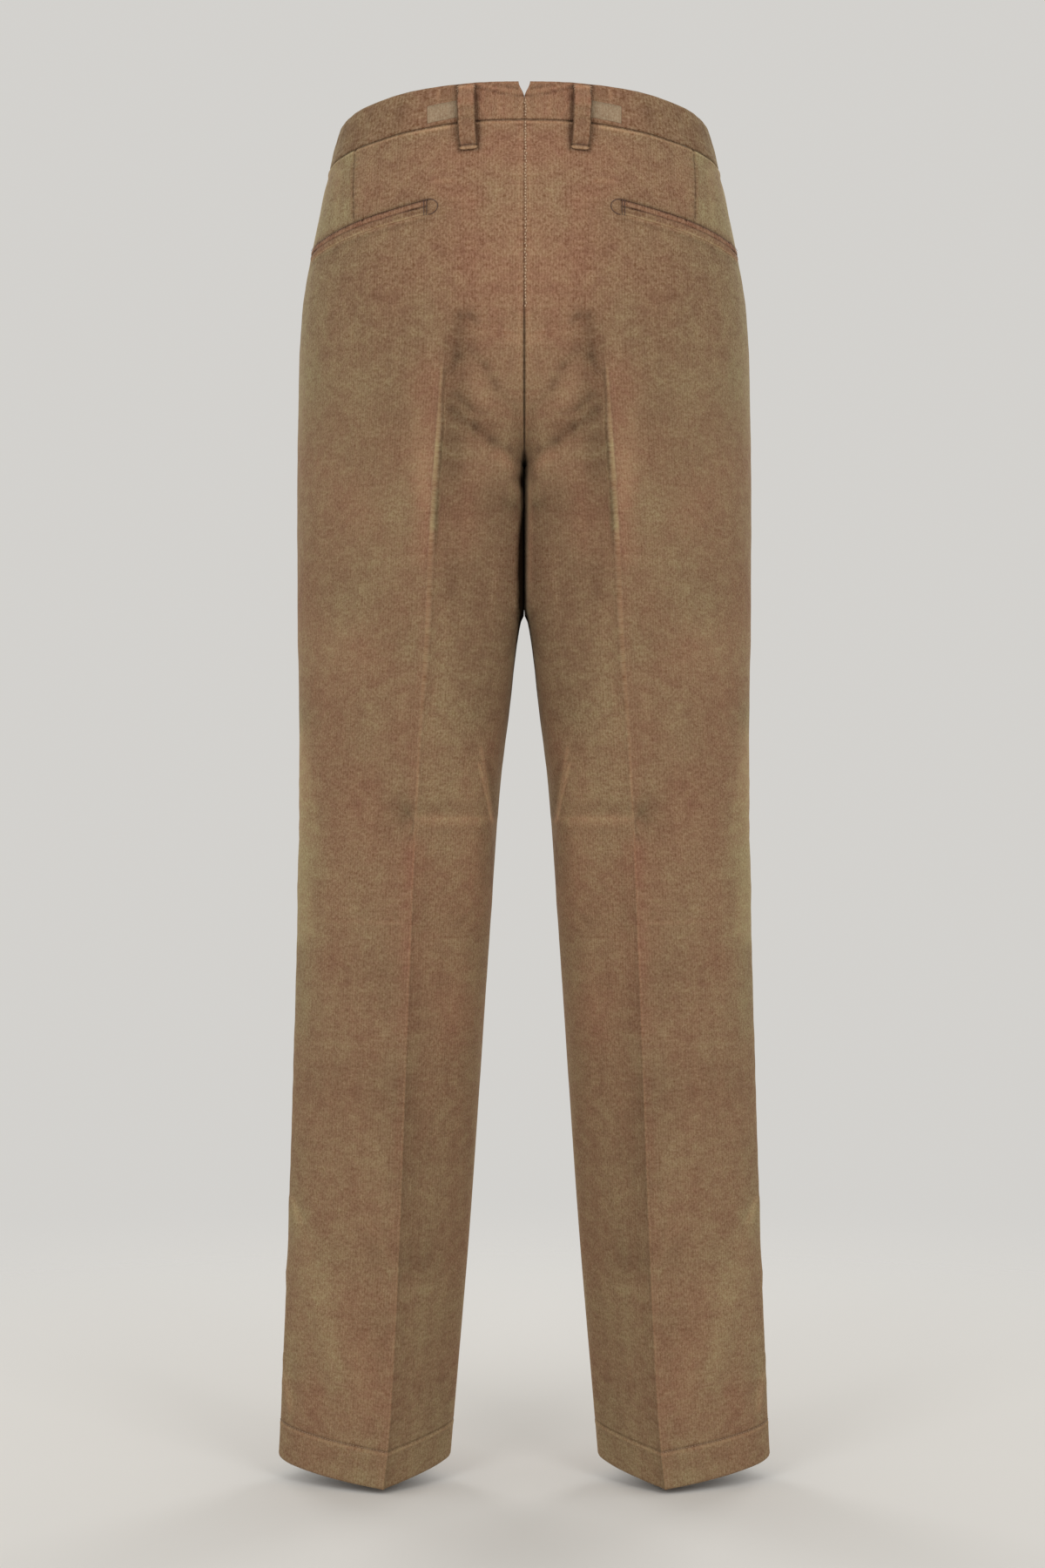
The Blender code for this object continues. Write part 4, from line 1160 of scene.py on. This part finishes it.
def pocket_lip(label, side, drop):
    upper = label == "upper"

    def place(u, v):
        level, across = pocket_place(u, drop + LIP_WIDTH * (1 - v))
        t = t_from_centre(BACK, level, across)
        along = across - POCKET_START
        drawn_in = ease(wander(across, 6.5, 1.0), 0.2, 0.8) * ease(along, 20, 60)
        rolled = 0.35 * np.sin(math.pi * v) - 0.2 * drawn_in
        # Painted shade in the slit, deeper at its open ends.
        open_slit = 0.28 + 0.5 * (bump(along - 11, 8) + ease(along, 112, 130))
        if upper:
            rolled -= 0.5 * bump(v - 1, 0.3)
            # Painted shade along the upper lip's top edge, in the slit, and where the stitches draw
            # it in.
            light = -0.95 * bump(v - 1, 0.20) - open_slit * bump(v, 0.16)
            light -= 0.55 * drawn_in * bump(v - 0.72, 0.26)
            red = 1.0
        else:
            rolled -= bump(v, 0.3)
            # A painted highlight along the lower lip's lower edge, painted shade at the slit, and a
            # darker line along its middle near the inner end.
            light = 0.52 * bump(v - 0.06, 0.14) - 0.03 - open_slit * bump(v - 1, 0.14)
            light -= 0.12 * (1 - ease(along, 30, 50)) * bump(v - 0.45, 0.14)
            red = 0.4 - 0.7 * bump(v - 0.06, 0.2)
        points = cloth_point(BACK, t, level, LAID_GAP + LIP_CLOTH + rolled)
        return mirrored(points, side), tape_uv(across, level), light, red, 1.0

    name = f"jet_{label}_{SIDE_NAMES[side]}"
    return cloth_piece(name, (160, 10), place, side > 0, LIP_CLOTH)


for one_side in (LEFT, RIGHT):
    for lip_label, lip_drop in (("upper", 0.0), ("lower", LIP_WIDTH + 0.05)):
        lip = pocket_lip(lip_label, one_side, lip_drop)
        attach(lip, "root")
        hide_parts(f"pocket_lip_{lip_label}_{SIDE_NAMES[one_side]}")


# Belt loops
#
# Six folded strips, caught in the band's top edge and turned under and stitched below the waist
# seam. They stand off the band between. Their upper ends are rubbed pink and pale, and their
# edges and lower ends have painted shade and highlights.

STRIP_CLOTH = 1.8
LOOP_STAND_OFF = 4.4
LOOP_TURN = 7.0
# Painted shade along each loop's edges with a painted highlight just inside. At the lower end, a
# painted highlight on the turn with painted shade above it. The top is paler, rubbed.
LOOP_EDGE_SHADE_AND_HIGHLIGHT = ((2.0, 1.0, 0.12), (0, 0.9, -0.50))
LOOP_END_LIGHT_SHADE_AND_WEAR = ((1.0, 0.9, 0.50), (3.4, 0.9, -0.35), (48.0, 1.6, 0.40))


def loop_place(face, top_across, bottom_across, u, v):
    """Level, t and lift of a place on a loop, u across it and v up it."""
    length = LOOP_TOP - LOOP_BOTTOM
    level = LOOP_BOTTOM + length * v + 1.5 * bump(v * length, 1.6) * np.abs(2 * u - 1) ** 5
    from_end = length * np.minimum(v, 1 - v)
    stand_off = LOOP_STAND_OFF * ease(from_end, LOOP_TURN / 2, LOOP_TURN / 2 + LOOP_TURN)
    crown = 0.35 * (1 - (2 * u - 1) ** 2) - 0.5 * bump(np.minimum(u, 1 - u), 0.05)
    turned_end = 0.55 * bump(v * length - 1.4, 1.3)
    flare = 1 + 0.08 * bump(v * length, 2.5)
    across = bottom_across + (top_across - bottom_across) * v + (u - 0.5) * LOOP_WIDTH * flare
    lift = LAID_GAP + BAND_LIFT + stand_off + STRIP_CLOTH + crown + turned_end
    return level, t_from_centre(face, level, across), lift


def belt_loop(label, side, face, top_across, bottom_across):
    def place(u, v):
        level, t, lift = loop_place(face, top_across, bottom_across, u, v)
        points, uv = cloth_point(face, t, level, lift), tape_uv(u * LOOP_WIDTH, level, 0.31)
        from_edge = np.minimum(u, 1 - u) * LOOP_WIDTH
        up = v * (LOOP_TOP - LOOP_BOTTOM)
        worn_top = ease(up, 31, 37)
        # Painted shade and highlights at its edges and lower end, and a paler, pinker rubbed top.
        light = beside(from_edge, LOOP_EDGE_SHADE_AND_HIGHLIGHT) + beside(up, LOOP_END_LIGHT_SHADE_AND_WEAR) - 0.03
        light += 0.08 * worn_top + 0.06 * wander(up, 9.0, top_across)
        red = 0.6 * worn_top + 0.2 - 0.6 * bump(up - 1.0, 2.0)
        return mirrored(points, side), uv, light, red, 0.6

    name = f"loop_{label}_{SIDE_NAMES[side]}"
    return cloth_piece(name, (22, 84), place, side * face > 0, STRIP_CLOTH)


for one_side in (LEFT, RIGHT):
    for loop_label, loop_face, loop_top, loop_bottom in LOOPS:
        loop = belt_loop(loop_label, one_side, loop_face, loop_top, loop_bottom)
        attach(loop, "root")
        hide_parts(f"belt_loop_{loop_label}_{SIDE_NAMES[one_side]}")


# Fly
#
# A second layer of needlecord along the left front's closing edge, its lower end rounded into the
# centre seam, with one row of stitches along its curve.

FLY_WIDTH = 38.0
FLY_BOTTOM = -176.0
FLY_CLOTH = 1.3
FLY_GAP = 0.45


def fly_width(v):
    return FLY_WIDTH * np.sqrt(np.clip(1 - (1 - np.clip(v / 0.25, 0, 1)) ** 2, 0.02, 1))


def fly_place(u, v):
    level = FLY_BOTTOM + (WAIST - FLY_BOTTOM) * v
    across, edge = fly_width(v) * u, fly_width(v) * (1 - u)
    t = t_from_centre(FRONT, level, across)
    # Painted shade along the fly's edge and a painted highlight just inside it.
    light = -0.3 * bump(edge, 0.8) + 0.15 * bump(edge - 2.0, 1.2)
    points = cloth_point(FRONT, t, level, FLY_GAP + FLY_CLOTH - 0.9 * bump(edge, 0.9))
    uv = tape_uv(across, level, (0.71, 0.37))
    return mirrored(points, LEFT), uv, light, 0 * level, 0.7


fly_cloth = cloth_piece("fly_cloth", (24, 110), fly_place, False, FLY_CLOTH, own=(LEFT, None))
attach(fly_cloth, "root")
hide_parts("fly_placket")


# Waist button
#
# A turned horn-like button with a raised rim and four holes, sewn through with brown thread at
# the front of the band.

button_lo, button_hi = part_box("waist_button")
BUTTON_THICK = 3.4 * MM
BUTTON_HOLE = 0.8 * MM
BUTTON_HOLES_APART = 1.3 * MM
BUTTON_PROFILE = (
    (0.0, 0.0024), (0.0042, 0.0024), (0.0052, 0.0030), (0.0062, 0.0034), (0.0070, 0.0031),
    (0.0075, 0.0022), (0.0074, 0.0010), (0.0064, 0.0002), (0.0, 0.0),
)

# Polished horn: smooth enough for a small clear highlight, with its brown growth streaks below.
horn, horn_tree = new_material("polished brown horn")
horn_place = node(horn_tree, "TexCoord", {}).outputs["Object"]
horn_grain = {"Vector": horn_place, "Scale": 420.0, "Detail": 4.0, "Distortion": 1.5}
horn_grain = node(horn_tree, "TexNoise", horn_grain).outputs["Fac"]
horn_ramp = node(horn_tree, "ValToRGB", {"Fac": horn_grain})
for stop, place, colour in zip(horn_ramp.color_ramp.elements, (0.35, 0.7), ("2E1C12", "6B4A30")):
    stop.position, stop.color = place, linear(colour)
horn_surface = {"Base Color": horn_ramp, "Roughness": 0.28, "IOR": 1.54}
horn_surface = node(horn_tree, "BsdfPrincipled", horn_surface)
node(horn_tree, "OutputMaterial", {"Surface": horn_surface})


def waist_button():
    shape = bmesh.new()
    rim = [shape.verts.new((radius, 0.0, height)) for radius, height in BUTTON_PROFILE]
    edges = [shape.edges.new(pair) for pair in zip(rim, rim[1:])]
    bmesh.ops.spin(
        shape, geom=rim + edges, cent=(0, 0, 0), axis=(0, 0, 1), angle=2 * math.pi, steps=40,
        use_merge=True,
    )
    bmesh.ops.remove_doubles(shape, verts=shape.verts, dist=1e-6)
    bmesh.ops.recalc_face_normals(shape, faces=shape.faces)
    middle = Vector((button_lo + button_hi) / 2)
    outward = Vector((middle.x, middle.y, 0.0)).normalized()
    turn = outward.to_track_quat("Z", "Y").to_matrix().to_4x4()
    seat = Matrix.Translation(middle - outward * BUTTON_THICK / 2) @ turn
    bmesh.ops.transform(shape, verts=shape.verts, matrix=seat)
    piece = add_object("button_horn", to_mesh(shape, "button_horn", horn))
    drilled = bmesh.new()
    for across in (-BUTTON_HOLES_APART, BUTTON_HOLES_APART):
        for up in (-BUTTON_HOLES_APART, BUTTON_HOLES_APART):
            bmesh.ops.create_cone(
                drilled, cap_ends=True, segments=12, radius1=BUTTON_HOLE, radius2=BUTTON_HOLE,
                depth=3 * BUTTON_THICK,
                matrix=Matrix.Translation(middle) @ turn @ Matrix.Translation((across, up, 0.0)),
            )
    drill = add_object("button_drill", to_mesh(drilled, "button_drill"))
    holes = piece.modifiers.new("holes", "BOOLEAN")
    holes.operation, holes.solver, holes.object = "DIFFERENCE", "EXACT", drill
    apply_modifiers(piece)
    bpy.data.objects.remove(drill)
    piece.data.shade_smooth()
    piece.data.set_sharp_from_angle(angle=math.radians(40))
    return piece, middle, outward, turn


button, button_middle, button_outward, button_turn = waist_button()
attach(button, "root")
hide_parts("waist_button")


# Sewing
#
# Brown polyester thread in straight stitches: along the centre back seam, the hem, the pocket
# lips, the half-moon tacks, the loop ends, the fly and the pocket mouths. Each stitch is a short
# rounded length of thread that sinks into the pile at its ends.


# Spun polyester: matt with a faint sheen, and lighter and darker along its twist.
def thread_material(name, colour):
    made, tree = new_material(name)
    place = node(tree, "TexCoord", {}).outputs["Object"]
    twist = node(tree, "TexNoise", {"Vector": place, "Scale": 900.0, "Detail": 2.0}).outputs["Fac"]
    shown = {0: linear(colour)[:3], "Scale": weighted_sum(tree, [(twist, 0.6)], 0.7)}
    shown = node(tree, "VectorMath", shown, operation="SCALE")
    surface = {"Base Color": shown, "Roughness": 0.6, "Sheen Weight": 0.2}
    node(tree, "OutputMaterial", {"Surface": node(tree, "BsdfPrincipled", surface)})
    return made


dark_thread = thread_material("dark brown sewing thread", "4E3226")
pale_thread = thread_material("worn pale sewing thread", "BD9F81")
red_thread = thread_material("reddish brown sewing thread", "6E3F30")
cord_thread = thread_material("light brown sewing thread", "8C6F55")


def stitches(name, runs, length, thickness, thread):
    """One mesh of stitches. Each run is its places in mm, their directions and what is out."""
    shape = bmesh.new()
    size = Matrix.Diagonal((length / 2, thickness / 2, thickness / 2, 1 / MM)) * MM
    for places, directions, outwards in runs:
        for place, direction, outward in zip(places, directions, outwards):
            along = Vector(direction).normalized()
            out = (Vector(outward) - along * along.dot(Vector(outward))).normalized()
            turn = Matrix((along, out.cross(along), out)).transposed().to_4x4()
            bmesh.ops.create_uvsphere(
                shape, u_segments=6, v_segments=4, radius=1.0,
                matrix=Matrix.Translation(Vector(place) * MM) @ turn @ size,
            )
    piece = add_object(name, to_mesh(shape, name, thread))
    piece.data.shade_smooth()
    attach(piece, "root")


def run_of(face, side, t, level, lift, pitch):
    """Stitch places along a line on the cloth, evenly spaced, with their direction and normal."""
    line = mirrored(cloth_point(face, t, level, lift), side)
    above = mirrored(cloth_point(face, t, level, np.asarray(lift) + 1.0), side)
    runs = np.linalg.norm(np.diff(line, axis=0), axis=1)
    length = np.concatenate([[0], np.cumsum(runs)])
    at = np.arange(pitch / 2, length[-1], pitch)

    def along(at, values):
        return np.stack([np.interp(at, length, values[:, i]) for i in range(3)], axis=1)

    return along(at, line), along(at + 0.4, line) - along(at - 0.4, line), along(at, above - line)


def stitch_run(face, side, level, across, lift, pitch):
    return run_of(face, side, t_from_centre(face, level, across), level, lift, pitch)


def both(make, *settings):
    return [make(side, *settings) for side in (LEFT, RIGHT)]


def centre_run(start, end, lift):
    """Stitches that wander beside the centre seam, so that their row isn't even."""
    level = np.linspace(start, end, 90)
    across = 0.9 + 0.7 * wander(level, 3.7, RIGHT)
    return stitch_run(BACK, RIGHT, level, across, lift, 2.6)


centre_runs = [
    centre_run(-150, WAIST - 2, 0.6), centre_run(WAIST + 2, NOTCH_END - 0.5, BAND_LIFT + 0.5)
]
stitches("centre_seam_stitches", centre_runs, 2.2, 1.25, pale_thread)

# Ends of thread that fray out at the top corners of the two back loops: each by how far it is from
# the loop's middle and its top, and the way it points.
FRAYED = (
    (-6.5, -0.9, -0.9, 0.3), (-6.7, -2.1, -1, -0.2), (-5.7, -0.4, -0.5, 0.5),
    (-6.3, -3.4, -0.4, -1), (-4.4, -0.6, 0.9, 0.2), (6.4, -0.8, 0.9, 0.3), (6.7, -2.4, 1, -0.3),
    (5.3, -0.4, 0.6, 0.4), (6.2, -3.9, 0.2, -1), (3.6, -0.6, -0.9, 0.1), (0.5, -0.5, 1, 0.1),
)
FRAYED_LIFT = LAID_GAP + BAND_LIFT + STRIP_CLOTH + 0.3


def frayed_ends(side):
    _, face, middle, _ = LOOPS[0]
    off, above, way_across, way_up = np.array(FRAYED).T
    level = LOOP_TOP + above

    def place(across, up, lift):
        t = t_from_centre(face, level, middle + across)
        return mirrored(cloth_point(face, t, level + up, lift), side)

    places, ends = place(off, 0, FRAYED_LIFT), place(off + way_across, way_up, FRAYED_LIFT)
    return places, ends - places, places - place(off, 0, 0)


stitches("frayed_threads", both(frayed_ends), 1.7, 0.5, pale_thread)


def hem_run(side, face):
    t = np.linspace(0.5, 0.985, 160)
    return run_of(face, side, t, HEM + HEM_DEPTH + 0 * t, 0.32, 2.6)


hem_runs = both(hem_run, BACK) + both(hem_run, FRONT)
stitches("hem_stitches", hem_runs, 1.8, 0.9, cord_thread)


def pocket_run(side, drop, start, end, lift):
    level, across = pocket_place(np.linspace(start, end, 120), drop)
    return stitch_run(BACK, side, level, across, lift, 2.3)


lip_runs = both(pocket_run, 1.6, 0.015, 0.99, 1.95)
slit_runs = both(pocket_run, LIP_WIDTH + 0.2, 0.03, 0.30, 1.25)
stitches("pocket_lip_stitches", lip_runs, 1.3, 0.55, red_thread)
stitches("pocket_slit_stitches", slit_runs, 1.3, 0.5, red_thread)


def tack_bar(side, shift):
    level, across = pocket_place(0.0, np.linspace(0.2, 2 * LIP_WIDTH + 1.2, 20))
    return stitch_run(BACK, side, level, across + shift + 0 * level, 1.9, 1.2)


HALF_MOON_REACH = 7.6


def half_moon(side):
    turn = np.linspace(-math.pi / 2, math.pi / 2, 40)
    level = POCKET_TOP - LIP_WIDTH - 0.2 + (LIP_WIDTH + 0.3) * np.sin(turn)
    across = POCKET_START - 0.5 - HALF_MOON_REACH * np.cos(turn)
    return stitch_run(BACK, side, level, across, 0.3, 1.3)


tack_runs = both(tack_bar, 0.4) + both(tack_bar, 2.4) + both(half_moon)
stitches("pocket_tacks", tack_runs, 1.6, 0.75, dark_thread)

LOOP_ROW = 0.075


def loop_run(side, face, top_across, bottom_across):
    u = np.linspace(0.06, 0.94, 20)
    level, t, lift = loop_place(face, top_across, bottom_across, u, LOOP_ROW + 0 * u)
    return run_of(face, side, t, level, lift + 0.12, 1.7)


loop_runs = [loop_run(side, *loop[1:]) for side in (LEFT, RIGHT) for loop in LOOPS]
stitches("loop_stitches", loop_runs, 1.25, 0.5, dark_thread)

fly_v = np.linspace(0.015, 0.985, 140)
fly_level = FLY_BOTTOM + (WAIST - FLY_BOTTOM) * fly_v
fly_across = np.maximum(fly_width(fly_v) - 4, 1)
fly_run = stitch_run(FRONT, LEFT, fly_level, fly_across, FLY_GAP + FLY_CLOTH + 0.15, 2.8)
stitches("fly_stitches", [fly_run], 2.0, 0.6, dark_thread)

mouth_level = np.linspace(MOUTH_BOTTOM + 4, WAIST - 2, 120)


def mouth_run(side):
    t = mouth_t(mouth_level) - 5 / girth(FRONT, mouth_level)
    return run_of(FRONT, side, t, mouth_level, 0.2, 2.8)


stitches("pocket_mouth_stitches", both(mouth_run), 2.0, 0.6, dark_thread)


def button_thread():
    """Two bars of thread across the button's four holes."""
    across, up = (button_turn.to_3x3() @ Vector(way) for way in ((1, 0, 0), (0, 1, 0)))
    top = button_middle + button_outward * 0.8 * MM
    return [
        ([(top + up * offset) / MM], [across], [button_outward])
        for offset in (-BUTTON_HOLES_APART, BUTTON_HOLES_APART)
    ]


stitches("button_thread", button_thread(), 4.2, 1.0, dark_thread)


# Rubbed patches on the band
#
# Outside each back loop a small rectangle of the band has faded paler and greyer than the rest, a
# hair prouder than the cloth round it.

PATCH_WIDTH, PATCH_HEIGHT = 26.5, 12.0
PATCH_LEVEL = -14.0
PATCH_INNER = 49.5
PATCH_THICK = 0.2
faded = needlecord("faded needlecord patch", "9A836C", "9C866D", "9E896F", cloud=0.3, pile=0.5)


def faded_patch(side):
    def place(u, v):
        level = PATCH_LEVEL + PATCH_HEIGHT * v + 1.2 * (0.5 - u)
        across = PATCH_INNER + PATCH_WIDTH * u
        t = t_from_centre(BACK, level, across)
        edge = np.minimum(np.minimum(u, 1 - u) * PATCH_WIDTH, np.minimum(v, 1 - v) * PATCH_HEIGHT)
        lift = band_lift(t, level, BACK) + 0.22 - 0.2 * bump(edge, 0.5)
        uv = tape_uv(across, level, 0.5)
        # Painted shade round the patch's edges, along its top and at its end by the loop.
        light = -0.10 * bump(edge, 0.6) - 0.10 * bump(v - 1, 0.15) - 0.35 * (1 - ease(u, 0.0, 0.22))
        return mirrored(cloth_point(BACK, t, level, lift), side), uv, light, 0 * level, 1.0

    name = "faded_patch_" + SIDE_NAMES[side]
    return cloth_piece(name, (40, 18), place, side > 0, PATCH_THICK, outside=faded)


for one_side in (LEFT, RIGHT):
    patch = faded_patch(one_side)
    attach(patch, "root")


# Studio
#
# A plain pale floor that fades into a plain pale surround, soft light from every side, and the
# camera straight behind the garment at its middle.

FLOOR_LEVEL = -1.066
FLOOR_RADIUS = 2.2
FLOOR_FADES = (0.35, 1.7)
LAMP_SIZE, LAMP_POWER = 1.2, 22.0
LAMP_PLACE = (1.5, 2.9, 0.7)
LAMPS_AIM = Vector((0.0, 0.0, -0.5))
LENS = 71.43
CAMERA_PLACE = (0.0014, 2.5, -0.509)

floor_shape = bmesh.new()
bmesh.ops.create_circle(floor_shape, cap_ends=True, segments=96, radius=FLOOR_RADIUS)
bmesh.ops.translate(floor_shape, verts=floor_shape.verts, vec=(0, 0, FLOOR_LEVEL))
board, tree = new_material("matt pale grey board")
place = node(tree, "TexCoord", {}).outputs["Object"]
flat = node(tree, "VectorMath", {0: place, 1: (1, 1, 0)}, operation="MULTIPLY")
away = node(tree, "VectorMath", {0: flat}, operation="LENGTH").outputs["Value"]
fade = {"Value": away, "From Min": FLOOR_FADES[0], "From Max": FLOOR_FADES[1]}
fade = node(tree, "MapRange", fade, interpolation_type="SMOOTHSTEP")
matt = node(tree, "BsdfPrincipled", {"Base Color": linear("DEDCD8"), "Roughness": 0.9})
mixed = node(tree, "MixShader", {0: fade, 1: matt, 2: node(tree, "BsdfTransparent", {})})
node(tree, "OutputMaterial", {"Surface": mixed})
floor = add_object("studio_floor", to_mesh(floor_shape, "studio_floor", board))

surround = bpy.data.worlds.new("pale surround")
surround.use_nodes = True
background = surround.node_tree.nodes["Background"].inputs
background["Color"].default_value, background["Strength"].default_value = linear("E9E7E3"), 0.8
bpy.context.scene.world = surround
bpy.context.scene.view_settings.view_transform = "Standard"

for along in (BACK, FRONT):
    for across in (LEFT, RIGHT):
        lamp = bpy.data.lights.new(f"key_{across}_{along}", "AREA")
        lamp.shape, lamp.size, lamp.energy = "SQUARE", LAMP_SIZE, LAMP_POWER
        holder = add_object(lamp.name, lamp)
        holder.location = Vector(LAMP_PLACE) * Vector((across, along, 1))
        aim = LAMPS_AIM - holder.location
        holder.rotation_euler = aim.to_track_quat("-Z", "Y").to_euler()

camera_data = bpy.data.cameras.new("camera")
camera_data.lens, camera_data.sensor_width = LENS, 36.0
camera = add_object("camera", camera_data)
camera.location = CAMERA_PLACE
camera.rotation_euler = (math.radians(90), 0.0, math.radians(180))
bpy.context.scene.camera = camera
